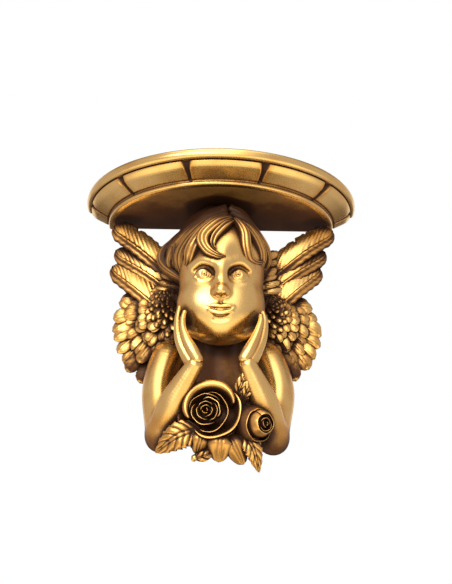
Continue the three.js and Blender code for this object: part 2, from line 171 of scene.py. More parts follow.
FLOOR_DROP, FLOOR_HALF = 1.6, 0.75  # the bracket hangs high over a small brown floor
FLOOR_COLOUR = (0.20, 0.16, 0.12, 1)
floor = bpy.data.objects.new("floor", bpy.data.meshes.new("floor"))
floor_corners = [(x * FLOOR_HALF, y * FLOOR_HALF, -FLOOR_DROP) for x, y in ((-1, -1), (1, -1), (1, 1), (-1, 1))]
floor.data.from_pydata(floor_corners, [], [(0, 1, 2, 3)])
bpy.context.collection.objects.link(floor)
boards = bpy.data.materials.new("brown floor")
boards.use_nodes = True
boards.node_tree.nodes["Principled BSDF"].inputs["Base Color"].default_value = FLOOR_COLOUR
floor.data.materials.append(boards)

# Shelf. A half-round slab of cast resin with a rounded rim and a ring of raised blocks under it, gilded and
# rubbed back, so that a dark brown ground stays in every groove. Its underside is dark too, darkest near the
# wall, which is ground and painted shade.
low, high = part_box("angel_corbel")
HALF_WIDTH = high.x
DEPTH = -low.y
TOP = high.z
MM = HALF_WIDTH / 136  # one millimetre of the pattern, which is 136 mm from the middle to either end
# The moulding's profile, as distances from the middle and heights in pattern millimetres
SLAB_BOTTOM = [(0, 1.0), (94, 1.0), (102, 0.7), (106.5, 0.1)]
LIP = [(108.2, 0.5), (109.2, 0.0), (110.6, -0.1), (112.2, 0.3), (113.2, 1.4), (113.4, 2.6), (112.8, 3.6)]
BLOCK_FOOT, BLOCK_HEAD = (114.2, 4.4), (131.4, 16.0)
BLOCK_EDGE = [(125.6, 10.2), (127.4, 11.4), (128.9, 12.8), (130.3, 14.4)]
UNDER_RIM = [(130.2, 16.3), (129.8, 16.9), (130.6, 17.4)]
RIM_MIDDLE, RIM_HALF, RIM_SWELL = (131.5, 21.9), 5.0, 4.5
BLOCK_PITCH, BLOCK_TURN = 32.6, 2.0  # degrees, and how far the ring of blocks is turned to the right
GROOVE_DEPTH = 2.6
GROOVE_HALF = (0.9, 1.7)  # half-width of the grooves between blocks at their foot and at their head
BLOCK_ROUND = 3.6
ARC_POINTS, RIM_POINTS = 441, 15
TIER_EDGE = 107  # the flat underside ends here, in pattern millimetres
NEAR_WALL = (0.02, 0.1)  # the painted shade near the wall fades out between these distances


def ease(value, low, high):
    """0 below low, 1 above high, and a soft rise between them."""
    share = np.clip((value - low) / (high - low), 0, 1)
    return share * share * (3 - 2 * share)


def rounded(corners, spacing):
    """A profile through its corners with points no further apart than the spacing."""
    corners = np.array(corners, float)
    points = [corners[:1]]
    for a, b in zip(corners[:-1], corners[1:]):
        steps = max(1, int(np.ceil(np.linalg.norm(b - a) / spacing)))
        points.append(a + (b - a) * (np.arange(1, steps + 1) / steps)[:, None])
    return np.vstack(points)


def grid_faces(rows, columns, closed=False, first=0):
    """The four-sided faces of a grid of points, row by row."""
    row = np.arange(rows - 1)[:, None] * columns
    column = np.arange(columns if closed else columns - 1)[None]
    after = (column + 1) % columns
    quads = np.stack([row + column, row + after, row + columns + after, row + columns + column], -1)
    return (quads.reshape(-1, 4) + first).tolist()


def skin(name, places, faces, wash):
    """A piece of the casting from its points and faces, with its dark wash and painted shade at each point."""
    mesh = bpy.data.meshes.new(name)
    mesh.from_pydata(np.asarray(places, float).reshape(-1, 3), [], faces)
    mesh.update()
    mesh.validate()
    layer = mesh.attributes.new("wash", "FLOAT", "POINT")
    layer.data.foreach_set("value", np.asarray(wash, np.float32).ravel())
    mesh.shade_smooth()
    made = bpy.data.objects.new(name, mesh)
    bpy.context.collection.objects.link(made)
    return made


def faced_out(made):
    """Turns every face of a closed piece outwards."""
    shell = bmesh.new()
    shell.from_mesh(made.data)
    bmesh.ops.recalc_face_normals(shell, faces=shell.faces)
    shell.to_mesh(made.data)
    shell.free()


turns = np.linspace(-np.pi / 2, np.pi / 2, ARC_POINTS)
rim_turns = np.linspace(0.15, np.pi, RIM_POINTS)
rim = [(RIM_MIDDLE[0] + RIM_SWELL * np.sin(a), RIM_MIDDLE[1] - RIM_HALF * np.cos(a)) for a in rim_turns]
under = rounded(SLAB_BOTTOM, 6)
block = rounded([BLOCK_FOOT, *BLOCK_EDGE, BLOCK_HEAD], 0.9)
slab_top = [(120, TOP / MM), (60, TOP / MM), (0, TOP / MM)]
outline = np.vstack([under, LIP, block, UNDER_RIM, rim, slab_top])
first_block = len(under) + len(LIP)
in_block = np.zeros(len(outline), bool)
in_block[first_block : first_block + len(block)] = True
climb = np.zeros(len(outline))
climb[in_block] = np.linspace(0, 1, len(block))
joint = (np.degrees(turns) - BLOCK_TURN) / BLOCK_PITCH + 0.5
from_joint = np.abs(joint - np.round(joint)) * BLOCK_PITCH
arc = np.radians(from_joint)[None] * outline[:, :1]  # distance along the slab from the nearest joint
half = GROOVE_HALF[0] + (GROOVE_HALF[1] - GROOVE_HALF[0]) * climb[:, None]
corner = BLOCK_ROUND * (0.25 + climb[:, None] ** 3)
raised = ease(arc, half, half + corner) * np.minimum(1, ease(climb, -0.06, 0.05))[:, None]
sunk = np.where(in_block[:, None], (1 - raised) * GROOVE_DEPTH, 0)
slope = np.array(BLOCK_HEAD) - BLOCK_FOOT
inward = np.array([-slope[1], slope[0]]) / np.linalg.norm(slope)
radius = (outline[:, :1] + sunk * inward[0]) * MM
rise = (outline[:, 1:] + sunk * inward[1]) * MM
places = np.stack([radius * np.sin(turns), -radius * np.cos(turns) * DEPTH / HALF_WIDTH, rise + 0 * turns], -1)
rows, columns = places.shape[:2]
faces = grid_faces(rows, columns)
faces.append([r * columns for r in range(rows)])
faces.append([r * columns + columns - 1 for r in reversed(range(rows))])
from_wall = -places[..., 1]
by_joint = 0.3 * (1 - ease(arc, half, half + 9)) * in_block[:, None]
# The underside's dark ground and painted shade, darker still near the wall.
under_wash = 0.58 + 0.5 * (1 - ease(from_wall, *NEAR_WALL))
block_wash = 0.14 + by_joint + 0.8 * (sunk / GROOVE_DEPTH) ** 3
wash = np.where(outline[:, :1] < TIER_EDGE, under_wash, block_wash)
wash[outline[:, 1] > TOP / MM - 1] = 0.15
shelf = skin("shelf", places, faces, wash)
faced_out(shelf)

GOLD, WARM_GOLD = (0.92, 0.65, 0.25, 1), (0.78, 0.43, 0.12, 1)
BROWN, DEEP_BROWN = (0.108, 0.043, 0.016, 1), (0.038, 0.0155, 0.0075, 1)
CREVICE_REACH = 14 * MM
GRAIN_HEIGHT = 0.25 * MM


def gilding(name):
    """Gold paint over a dark brown ground, rubbed bright on what stands proud. The dark ground also serves as
    painted shade, from ambient occlusion and from each piece's wash attribute.
    """
    made = bpy.data.materials.new(name)
    made.use_nodes = True
    made.node_tree.nodes.clear()
    paint = Value(made.node_tree)
    place = paint.node("ShaderNodeTexCoord", out="Object")

    def cloud(scale, detail):
        return paint.node("ShaderNodeTexNoise", {}, {"Vector": place, "Scale": scale, "Detail": detail}, "Fac")

    kept_wash_and_shade = paint.node("ShaderNodeAttribute", {"attribute_name": "wash"}, {}, "Fac")
    # Ambient occlusion darkens grooves, hollows and the joins between pieces: partly the dark wash, partly painted
    # shade.
    open_air = paint.node("ShaderNodeAmbientOcclusion", {"samples": 12}, {"Distance": CREVICE_REACH}, "AO")
    crevice_wash_and_shade = 1 - open_air.between(0.5, 1.0)
    cloudy = cloud(40.0, 4.0)
    speckle = cloud(620.0, 3.0)
    ground_and_shade = kept_wash_and_shade + crevice_wash_and_shade * 1.3 + (cloudy - 0.5) * 0.6 + (speckle - 0.5) * 0.15
    warm = ground_and_shade.between(0.05, 0.42)
    dark = ground_and_shade.between(0.3, 0.95)
    deep = ground_and_shade.between(0.8, 1.45)
    gold = warm.mixed(GOLD, WARM_GOLD)
    brown = dark.mixed(gold, BROWN)
    colour = deep.mixed(brown, DEEP_BROWN)
    rough = dark * 0.18 + speckle * 0.1 + 0.23
    shine = 1 - dark * 0.85
    bump = {"Strength": 0.05, "Distance": GRAIN_HEIGHT, "Height": cloud(260.0, 4.0)}
    sockets = {
        "Base Color": colour,
        "Roughness": rough,
        "Metallic": shine,
        "Normal": paint.node("ShaderNodeBump", {}, bump, "Normal"),
        "Specular IOR Level": 0.2,
    }
    surface = paint.node("ShaderNodeBsdfPrincipled", {}, sockets)
    paint.node("ShaderNodeOutputMaterial", {}, {"Surface": surface})
    return made


# Painted shade: faces turned away from the front and from below, the way the light comes from, get more dark ground.
LIT_FROM = np.array((0.0, -0.94, -0.34))  # from the front and a little from below
FULLY_LIT = 0.65  # what faces that way by more than this share takes all the gold


def cast(made, finish, shade_turned_away=0.3):
    """Gives a piece its finish and its place in the casting, and paints shade: what faces away from the front and
    below gets more of the dark ground, by the share shade_turned_away."""
    count = len(made.data.vertices)
    normals = np.empty(count * 3, np.float32)
    made.data.vertex_normals.foreach_get("vector", normals)
    shade = np.empty(count, np.float32)
    made.data.attributes["wash"].data.foreach_get("value", shade)
    facing = normals.reshape(-1, 3) @ LIT_FROM
    shade += shade_turned_away * (1 - ease(facing, 0.0, FULLY_LIT))
    made.data.attributes["wash"].data.foreach_set("value", shade.astype(np.float32))
    made.data.materials.clear()
    made.data.materials.append(finish)
    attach(made, "root")
    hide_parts("angel_corbel")


gold_paint = gilding("antiqued gold")
cast(shelf, gold_paint, shade_turned_away=0)

# Carving sizes. Everything below the shelf keeps its place as hundredths of the figure's height: across, out
# from the wall, and up from the underside of the shelf.
UNIT = 2.6 * MM


def at(x, out, z):
    return np.array([x * UNIT, -out * UNIT, z * UNIT])


def points(listed):
    return np.array([at(*p) for p in listed])


def smooth_path(knots, steps):
    """Points of an even curve through the knots, and its direction at each."""
    knots = np.asarray(knots, float)
    ends = np.vstack([2 * knots[0] - knots[1], knots, 2 * knots[-1] - knots[-2]])
    t = np.linspace(0, len(knots) - 1, steps)
    i = np.minimum(t.astype(int), len(knots) - 2)
    f = (t - i)[:, None]
    a, b, c, d = ends[i], ends[i + 1], ends[i + 2], ends[i + 3]
    curve = 0.5 * (2 * b + (c - a) * f + (2 * a - 5 * b + 4 * c - d) * f**2 + (3 * b - a - 3 * c + d) * f**3)
    along = np.gradient(curve, axis=0)
    return curve, along / np.linalg.norm(along, axis=1, keepdims=True)


# Body. The cherub's neck, chest, back and arms in one soft form, worked up as in clay: rounded limbs are laid on
# each other and their joints are smoothed. The back is cut flat where it meets the wall.
NO_CLAY = 0.02  # the distance that is noted where there is no clay


class Clay:
    """A lump of clay on a fine grid of distances, between two corners."""

    def __init__(self, low, high, step):
        self.low, self.step = np.array(low, float), step
        self.size = np.ceil((np.array(high, float) - self.low) / step).astype(int) + 1
        self.depth = np.full(self.size, NO_CLAY, np.float32)

    def window(self, low, high):
        """The part of the grid between two corners, and its points' coordinates."""
        a = np.clip(np.floor((low - self.low) / self.step).astype(int), 0, self.size)
        b = np.clip(np.ceil((high - self.low) / self.step).astype(int) + 1, 0, self.size)
        cut = tuple(slice(i, j) for i, j in zip(a, b))
        axes = [self.low[k] + np.arange(a[k], b[k]) * self.step for k in range(3)]
        lengths = [[-1 if k == n else 1 for n in range(3)] for k in range(3)]
        return cut, [axis.reshape(length).astype(np.float32) for axis, length in zip(axes, lengths)]

    def blend(self, cut, shape, soft, away):
        """Adds a form to the lump, or takes it away; the joint is smoothed over the distance soft."""
        there = self.depth[cut]
        if away:
            there = -there
        overlap = np.maximum(soft - np.abs(there - shape), 0) / soft
        made = np.minimum(there, shape) - overlap * overlap * soft / 4
        self.depth[cut] = -made if away else made

    def limb(self, knots, sizes, soft=0.002, away=False, steps=0):
        """A round form along the knots, with a radius at each. With steps, its path and its radii are smoothed."""
        knots, sizes = np.asarray(knots, float), np.asarray(sizes, float)
        if steps:
            t = np.linspace(0, 1, len(knots))
            sizes = np.interp(np.linspace(0, 1, steps), t, sizes)
            sizes = np.convolve(np.pad(sizes, 2, mode="edge"), np.ones(5) / 5, mode="valid")
            knots = smooth_path(knots, steps)[0]
        reach = sizes.max() + 2 * soft + 3 * self.step
        cut, (x, y, z) = self.window(knots.min(0) - reach, knots.max(0) + reach)
        shape = np.full(self.depth[cut].shape, 1.0, np.float32)
        for a, b, ra, rb in zip(knots[:-1], knots[1:], sizes[:-1], sizes[1:]):
            run = b - a
            t = ((x - a[0]) * run[0] + (y - a[1]) * run[1] + (z - a[2]) * run[2]) / max(run @ run, 1e-12)
            t = np.clip(t, 0, 1)
            dx, dy, dz = x - a[0] - t * run[0], y - a[1] - t * run[1], z - a[2] - t * run[2]
            far = dx * dx + dy * dy + dz * dz
            shape = np.minimum(shape, np.sqrt(far) - (ra + t * (rb - ra)))
        self.blend(cut, shape, soft, away)

    def egg(self, middle, radii, soft=0.002, away=False):
        """An egg-shaped form with three radii, added or taken away."""
        middle, radii = np.asarray(middle, float), np.asarray(radii, float)
        reach = radii + 2 * soft + 3 * self.step
        cut, (x, y, z) = self.window(middle - reach, middle + reach)
        dx, dy, dz = x - middle[0], y - middle[1], z - middle[2]
        one = np.sqrt((dx / radii[0]) ** 2 + (dy / radii[1]) ** 2 + (dz / radii[2]) ** 2)
        two = np.sqrt((dx / radii[0] ** 2) ** 2 + (dy / radii[1] ** 2) ** 2 + (dz / radii[2] ** 2) ** 2)
        self.blend(cut, (one * (one - 1) / np.maximum(two, 1e-9)).astype(np.float32), soft, away)

    def fire(self, name, wash, flat_at=0.0):
        """The finished skin of the lump, cut flat at a distance from the wall."""
        y = self.low[1] + np.arange(self.size[1]) * self.step - flat_at
        self.depth = np.maximum(self.depth, y[None, :, None].astype(np.float32))
        grid = openvdb.FloatGrid(NO_CLAY)
        grid.copyFromArray(self.depth)
        found, _, quads = grid.convertToPolygons(isovalue=0.0, adaptivity=0.0)
        found = found.astype(float) * self.step + self.low
        return skin(name, found, quads.tolist(), wash(found))


UPPER_ARM = np.array([6.0, 6.5, 5.8, 5.2]) * UNIT
FOREARM = np.array([5.3, 4.9, 2.7]) * UNIT
ARMS = {  # shoulder, upper arm, elbow and wrist
    -1: [(-17.6, 15, -57.0), (-20.4, 22, -70), (-18.9, 29.5, -86.4), (-7.6, 42.5, -66.0)],
    1: [(17.4, 15, -57.0), (21.2, 22, -70), (19.6, 29.5, -86.6), (10.2, 42.5, -65.6)],
}
body = Clay(at(-29, 49, -97), at(29, -1, -38), 1.15 * MM)
body.limb(points([(0.6, 4, -52), (0.8, 6, -62), (1.0, 6, -72)]), np.array([13, 15, 13]) * UNIT, 0.01)  # spine
body.egg(at(0.8, 5, -50), np.array([17.5, 8, 12]) * UNIT, 0.008)  # shoulder blades
body.egg(at(0.8, 12, -56), np.array([17.5, 9, 8]) * UNIT, 0.012)  # shoulders
body.egg(at(1.2, 17, -71), np.array([13, 11, 13.5]) * UNIT, 0.01)  # chest
neck = points([(0.9, 18, -46), (1.1, 21.5, -56), (1.3, 22, -66)])
body.limb(neck, np.array([6.0, 6.3, 7.2]) * UNIT, 0.008)
body.egg(at(1.4, 28, -82.5), np.array([12, 11, 6.0]) * UNIT, 0.006)  # the folds that the flowers lie on
for side, arm in ARMS.items():
    shoulder, upper, elbow, wrist = np.array(arm, float)
    bones = points([shoulder - (side * 3, 4, -2), shoulder, upper, elbow + (0, -0.5, 1)])
    body.limb(bones, UPPER_ARM, 0.006, steps=28)
    bend = elbow + (-side * 0.4, 0.5, -1.2)
    middle = elbow * 0.58 + wrist * 0.42 + (side * 0.6, 0.8, 0)
    body.limb(points([bend, middle, wrist]), FOREARM, 0.003, steps=28)
    body.egg(at(*(elbow + (-side * 0.3, 1, -2.2))), np.array([4.7, 5.2, 4.4]) * UNIT, 0.005)


def in_shade(found):
    """Painted shade on the chest and neck under the head; the lowest parts of the body are darker too."""
    x, out, z = found[:, 0] / UNIT, -found[:, 1] / UNIT, found[:, 2] / UNIT
    deep = ease(-out, -36, -30) * ease(-np.abs(x - 1), -15, -9) * ease(z, -90, -80)
    below = 0.75 * ease(-z, 80, 92)
    return 0.08 + 0.85 * deep + below


torso = body.fire("body_and_arms", in_shade, flat_at=-0.4 * MM)
cast(torso, gold_paint, shade_turned_away=0.5)

# Hands. The cheeks rest on the palms, so that the little fingers and the edges of the hands look forward. The
# fingers are rolled one by one and pressed together, with a clean groove between each two.
# A finger is a row of places and radii (across, out, up, radius) from the palm to its tip; the thumb is last.
LEFT_HAND = [
    [(-6.7, 43.9, -64.4, 2.0), (-8.4, 44.1, -61.4, 2.05), (-10.2, 43.8, -58.2, 1.7),
     (-11.7, 43.0, -54.0, 1.2), (-12.0, 42.2, -50.4, 1.0), (-11.5, 41.0, -47.2, 0.75)],
    [(-8.9, 42.4, -64.8, 2.1), (-10.9, 42.2, -61.6, 2.0), (-12.6, 41.9, -58.0, 1.75),
     (-13.6, 41.3, -53.4, 1.4), (-13.7, 40.5, -48.8, 1.1), (-13.3, 39.2, -45.0, 0.8)],
    [(-9.2, 40.4, -64.0, 2.3), (-11.4, 40.0, -60.0, 2.0), (-12.9, 39.2, -55.4, 1.4),
     (-13.3, 38.2, -50.6, 1.15), (-13.1, 37.0, -46.6, 0.8)],
    [(-9.0, 38.4, -63.0, 2.3), (-11.2, 37.8, -59.2, 2.0), (-12.6, 36.6, -55.0, 1.4),
     (-13.1, 35.2, -51.0, 1.1), (-12.9, 34.0, -48.0, 0.8)],
    [(-8.8, 39.5, -62.4, 2.3), (-10.4, 36.4, -58.6, 1.6), (-11.2, 33.6, -56.4, 1.1)],
]
RIGHT_HAND = [
    [(9.0, 43.9, -63.8, 2.0), (10.8, 44.1, -60.6, 2.05), (12.5, 43.7, -57.0, 1.7),
     (13.7, 43.0, -53.4, 1.25), (14.4, 41.9, -50.4, 1.0), (14.5, 40.7, -48.0, 0.75)],
    [(11.4, 42.4, -64.0, 2.1), (13.3, 42.2, -60.6, 2.0), (14.8, 41.9, -56.8, 1.75),
     (15.6, 41.2, -52.6, 1.4), (15.7, 40.2, -49.0, 1.1), (15.2, 39.2, -46.4, 0.8)],
    [(11.6, 40.4, -63.4, 2.3), (13.6, 40.0, -59.6, 2.0), (14.9, 39.2, -55.4, 1.4),
     (15.4, 38.2, -51.4, 1.15), (15.2, 37.0, -48.2, 0.8)],
    [(11.4, 38.4, -62.6, 2.3), (13.4, 37.8, -59.0, 2.0), (14.6, 36.6, -55.0, 1.4),
     (15.2, 35.2, -51.4, 1.1), (15.0, 34.0, -49.0, 0.8)],
    [(10.8, 39.5, -62.2, 2.3), (12.2, 36.4, -58.6, 1.6), (12.8, 33.6, -56.4, 1.1)],
]
hands = Clay(at(-18, 48, -69), at(20, 29, -41), 0.65 * MM)
for finger in LEFT_HAND + RIGHT_HAND:
    finger = np.array(finger, float)
    places = finger[:, :3] * (UNIT, -UNIT, UNIT)
    hands.limb(places, finger[:, 3] * UNIT, 0.0006, steps=26)


def palm_darkening(found):
    """Darker toward the wall: the palms, behind the fingers, get more of the dark ground."""
    return 0.08 + 0.3 * ease(found[:, 1] / UNIT, -42, -37)


cast(hands.fire("hands", palm_darkening), gold_paint)

# Head. One clay form: a skull with full cheeks, a short nose and a small closed mouth. It is a calm child's face
# in the usual studio proportions, with the eyes half-way down the head.
HEAD_X = 0.8
head = Clay(at(-19, 48, -57), at(20, 15, -1), 0.74 * MM)


def eggs(listed, soft):
    """Egg forms added to the head, each (place, radii), melted in over the distance soft."""
    for (x, out, z), radii in listed:
        head.egg(at(HEAD_X + x, out, z), np.array(radii) * UNIT, soft * UNIT)


SKULL, UPPER_JAW = ((0, 21.5, -23.5), (14.8, 19.6, 21.3)), ((0, 26.0, -35.0), (13.4, 15.2, 15.6))
CHIN = ((0, 30.8, -45.4), (11.4, 9.0, 8.4))
JOWLS = [((-6.4, 31.4, -42.4), (7.0, 7.6, 7.8)), ((6.4, 31.4, -42.4), (7.0, 7.6, 7.8))]
FOREHEAD = ((0, 32.6, -24.5), (12.0, 9.8, 9.0))
CHEEKS = [((-7.4, 34.6, -40.4), (4.2, 3.4, 3.8)), ((7.4, 34.6, -40.4), (4.2, 3.4, 3.8))]
eggs([SKULL, UPPER_JAW], 6)
eggs([CHIN, *JOWLS], 8)
eggs([FOREHEAD], 9)
eggs(CHEEKS, 5)


def on_face(x, z, lift=0.0):
    """The point of the face at a place across and up, raised a little out of it."""
    column = np.round((at(HEAD_X + x, 0, z) - head.low) / head.step).astype(int)
    inside = np.flatnonzero(head.depth[column[0], :, column[2]] < 0)
    y = head.low[1] + inside[0] * head.step
    return np.array([(HEAD_X + x) * UNIT, y - lift * UNIT, z * UNIT])


def face_line(listed, sizes, soft, away=False, lift=0.0, steps=9):
    """A ridge along places of the face, or a groove."""
    knots = [on_face(x, z, lift) for x, z in listed]
    head.limb(knots, np.array(sizes) * UNIT, soft * UNIT, away=away, steps=steps)


EYE_ACROSS, EYE_HIGH = 5.9, -33.4
UPPER_LID = [(3.1, -34.1), (4.2, -32.6), (5.9, -31.9), (7.7, -32.3), (9.2, -33.9)]
LOWER_LID = [(3.2, -34.3), (4.5, -35.3), (6.0, -35.7), (7.7, -35.3), (9.1, -34.1)]
face_line([(0, -26.5), (0, -30.0)], [2.4, 2.0], 4.0, lift=-1.9, steps=4)  # between the brows
eyes = {side: on_face(side * EYE_ACROSS, EYE_HIGH) for side in (-1, 1)}
for side, eye in eyes.items():
    socket = eye + np.array([side * 0.3, -0.7, 0.3]) * UNIT
    head.egg(socket, np.array([4.3, 2.0, 2.7]) * UNIT, 2.8 * UNIT, True)
    brow = [(side * 3.4, -29.6), (side * 6.4, -28.5), (side * 10.0, -30.2)]
    face_line(brow, [0.6, 0.9, 0.4], 3.0, lift=-0.5)
    head.egg(eye + (0, 2.75 * UNIT, 0), np.array([3.1, 2.5, 2.5]) * UNIT, 0.3 * UNIT)
    iris_x = side * (EYE_ACROSS - 0.1)
    iris = [(iris_x + np.cos(a), EYE_HIGH + 0.05 + np.sin(a)) for a in np.linspace(0, 2 * np.pi, 15)]
    head.limb([on_face(x, z, 0.02) for x, z in iris], np.full(15, 0.17 * UNIT), 0.15 * UNIT, away=True)
    head.egg(on_face(iris_x, EYE_HIGH + 0.1), np.array([0.36, 0.5, 0.36]) * UNIT, 0.15 * UNIT, True)
    face_line([(side * x, z) for x, z in UPPER_LID], [0.35, 0.6, 0.72, 0.6, 0.35], 0.4, steps=13)
    face_line([(side * x, z) for x, z in LOWER_LID], [0.25, 0.38, 0.44, 0.38, 0.25], 0.7, steps=13)
    crease = [(side * 3.6, -31.5), (side * 6.2, -30.4), (side * 9.2, -31.7)]
    face_line(crease, [0.15, 0.24, 0.15], 0.8, away=True)
bridge = [on_face(0, -31.2, -1.2), on_face(0, -36.0, -0.1), on_face(0, -39.9, 1.5)]
head.limb(bridge, np.array([1.4, 1.5, 2.0]) * UNIT, 3.0 * UNIT, steps=9)
nose = bridge[2]
head.egg(nose + (0, 0.2 * UNIT, 0), np.array([2.0, 2.1, 1.7]) * UNIT, 1.0 * UNIT)
for side in (-1, 1):
    head.egg(nose + np.array([side * 2.0, 1.6, -0.5]) * UNIT, np.array([1.2, 1.5, 1.15]) * UNIT, 0.9 * UNIT)
    nostril = nose + np.array([side * 1.05, -0.1, -1.8]) * UNIT
    head.egg(nostril, np.array([0.5, 0.6, 0.4]) * UNIT, 0.4 * UNIT, True)
eggs([((0, 35.7, -46.2), (5.0, 4.0, 3.6))], 4)  # round the mouth
face_line([(0, -42.4), (0, -44.2)], [0.5, 0.55], 0.9, away=True, lift=0.35, steps=4)
MOUTH = [  # half of each line, its sizes, how soft it is, whether it is cut in, and its lift
    (((4.3, -45.3), (2.1, -44.9), (0, -45.2)), (0.35, 0.62, 0.6), 0.7, False, 0.0),
    (((3.7, -46.4), (1.9, -47.2), (0, -47.5)), (0.4, 0.75, 0.85), 0.8, False, 0.0),
    (((4.8, -45.4), (2.3, -46.0), (0, -46.2)), (0.28, 0.26, 0.3), 0.4, True, 0.15),
]
for half, sizes, soft, away, lift in MOUTH:
    line = [(-x, z) for x, z in half] + [(x, z) for x, z in half[-2::-1]]
    face_line(line, list(sizes) + list(sizes[-2::-1]), soft, away=away, lift=lift, steps=15)
under_lip = [(-1.8, -49.2), (0, -49.5), (1.8, -49.2)]
face_line(under_lip, [0.4, 0.5, 0.4], 1.8, away=True, lift=0.35, steps=5)
eggs([((0, 33.4, -51.2), (5.0, 3.6, 3.2))], 6)  # point of the chin
for side in (-1, 1):  # ears
    head.egg(at(HEAD_X + side * 14.0, 20.5, -35.0), np.array([1.6, 3.4, 4.6]) * UNIT, 1.2 * UNIT)
    head.egg(at(HEAD_X + side * 15.6, 21.2, -34.6), np.array([1.4, 1.9, 3.0]) * UNIT, 0.6 * UNIT, True)


def face_shade(found):
    """Painted shade on the sides of the face, toward the wall behind the ears, and under the jaw."""
    out, z, x = -found[:, 1] / UNIT, found[:, 2] / UNIT, found[:, 0] / UNIT
    side_shade = ease(np.abs(x - HEAD_X), 10.5, 15.5) * 0.45
    return 0.03 + side_shade + 0.5 * ease(-out, -28, -16) + 0.35 * ease(-z, 52, 55)


face = head.fire("head_and_face", face_shade, flat_at=-16 * UNIT)
cast(face, gold_paint, shade_turned_away=0.4)


# Hair. A modelled cap whose strands run from a parting right of the crown, and thick locks that were rolled out,
# grooved with a comb and laid over it one by one, the two biggest curling on the forehead.
def gather(name, forms):
    """One piece from several closed forms, each (points, faces, wash and painted shade)."""
    every, faces, shade, first = [], [], [], 0
    for form, form_faces, form_wash_and_shade in forms:
        form = np.asarray(form).reshape(-1, 3)
        every.append(form)
        shade.append(np.broadcast_to(np.ravel(form_wash_and_shade), len(form)))
        faces += [[v + first for v in f] for f in form_faces]
        first += len(form)
    made = skin(name, np.concatenate(every), faces, np.concatenate(shade))
    faced_out(made)
    return made


def unit(vectors):
    vectors = np.asarray(vectors, float)
    return vectors / np.maximum(np.linalg.norm(vectors, axis=-1, keepdims=True), 1e-12)


def values(listed, t):
    """An even curve through evenly spaced values, at the shares t."""
    listed = np.asarray(listed, float)
    place = np.clip(t, 0, 1) * (len(listed) - 1)
    i = np.minimum(place.astype(int), len(listed) - 2)
    f = place - i
    f = f * f * (3 - 2 * f)
    return listed[i] * (1 - f) + listed[i + 1] * f


SWEPT_STEPS = 34


def swept(knots, wide, thick, face_way, sides=24, strands=0, groove=0.0, wash=0.1, side_wash=0.0):
    """A closed form along a smooth path. Its broad side looks along face_way and may be grooved lengthwise."""
    steps = SWEPT_STEPS
    path, along = smooth_path(knots, steps)
    t = np.linspace(0, 1, steps)
    out = np.broadcast_to(np.asarray(face_way, float), path.shape)
    out = unit(out - along * (out * along).sum(1, keepdims=True))
    side = np.cross(along, out)
    turn = np.arange(sides) * 2 * np.pi / sides
    across, over = np.cos(turn), np.sin(turn)
    comb = 1 - np.abs(np.sin(np.pi * strands * (across + 1) / 2)) if strands else 0 * across
    comb = comb**0.75 * np.where(over > 0, np.sqrt(np.maximum(over, 0)), 0)
    w, h = values(wide, t)[:, None], values(thick, t)[:, None]
    rise = h * over - np.minimum(groove, 0.5 * h) * comb
    ring = path[:, None] + side[:, None] * (w * across)[..., None] + out[:, None] * rise[..., None]
    ends = [path[:1] - along[:1] * w[0] * 0.3, path[-1:] + along[-1:] * w[-1] * 0.3]
    every = np.concatenate([ring.reshape(-1, 3), *ends])
    faces = grid_faces(steps, sides, closed=True)
    faces += [[n, (n + 1) % sides, steps * sides] for n in range(sides)]
    last = (steps - 1) * sides
    faces += [[last + (n + 1) % sides, last + n, steps * sides + 1] for n in range(sides)]
    beside = side_wash * ease(np.abs(across), 0.55, 0.95)
    shade = np.broadcast_to(wash + 0.75 * comb + beside, (steps, sides)) + 0.5 * (over < -0.2)
    return every, faces, np.concatenate([shade.ravel(), [wash, wash]])


chance = np.random.default_rng(7)
CAP_MIDDLE, CAP_SIZE = at(-1.0, 20.5, -20.8), np.array([18.6, 19.0, 20.6]) * UNIT
CAP_ROWS, CAP_COLUMNS = 76, 360
CAP_RELIEF = 1.5 * MM
parting = unit(at(3.4, 33.0, -3.0) - CAP_MIDDLE)
cap_side = unit(np.cross(parting, (0, 1, 0)))
cap_down = np.cross(parting, cap_side)


def over_cap(spread, around, lift):
    """A point over the skull: spread from the parting, angle around it, and how high over the cap."""
    beside = np.cos(around)[..., None] * cap_side + np.sin(around)[..., None] * cap_down
    way = np.cos(spread)[..., None] * parting
    way = way + np.sin(spread)[..., None] * beside
    return CAP_MIDDLE + way * (CAP_SIZE + np.asarray(lift)[..., None])


spread = np.linspace(0.02, 2.75, CAP_ROWS)[:, None]
around = (np.arange(CAP_COLUMNS) * 2 * np.pi / CAP_COLUMNS)[None]
curve = around + 0.22 * np.sin(3 * around + 2.2 * spread) * spread + 0.10 * np.sin(9 * around - 4 * spread)
strand = np.abs(np.sin(19 * curve)) * 0.65 + np.abs(np.sin(47 * curve + 1)) * 0.35
relief = (strand - 0.6) * CAP_RELIEF * ease(spread, 0.0, 0.5)
cap_places = over_cap(spread + 0 * around, around + 0 * spread, relief)
front_pole, back_pole = CAP_ROWS * CAP_COLUMNS, CAP_ROWS * CAP_COLUMNS + 1
last_row = (CAP_ROWS - 1) * CAP_COLUMNS
cap_faces = grid_faces(CAP_ROWS, CAP_COLUMNS, closed=True)
cap_faces += [[n, (n + 1) % CAP_COLUMNS, front_pole] for n in range(CAP_COLUMNS)]
cap_faces += [[last_row + (n + 1) % CAP_COLUMNS, last_row + n, back_pole] for n in range(CAP_COLUMNS)]
poles = np.array([over_cap(np.array(turn), np.array(0.0), lift) for turn, lift in ((0.0, 0 * MM), (3.0, -2 * MM))])
cap_wash = np.concatenate([(0.75 - 0.9 * (strand - 0.3)).ravel(), [0.6, 0.6]])
hair_forms = [(np.concatenate([cap_places.reshape(-1, 3), poles]), cap_faces, np.clip(cap_wash, 0.1, 1))]

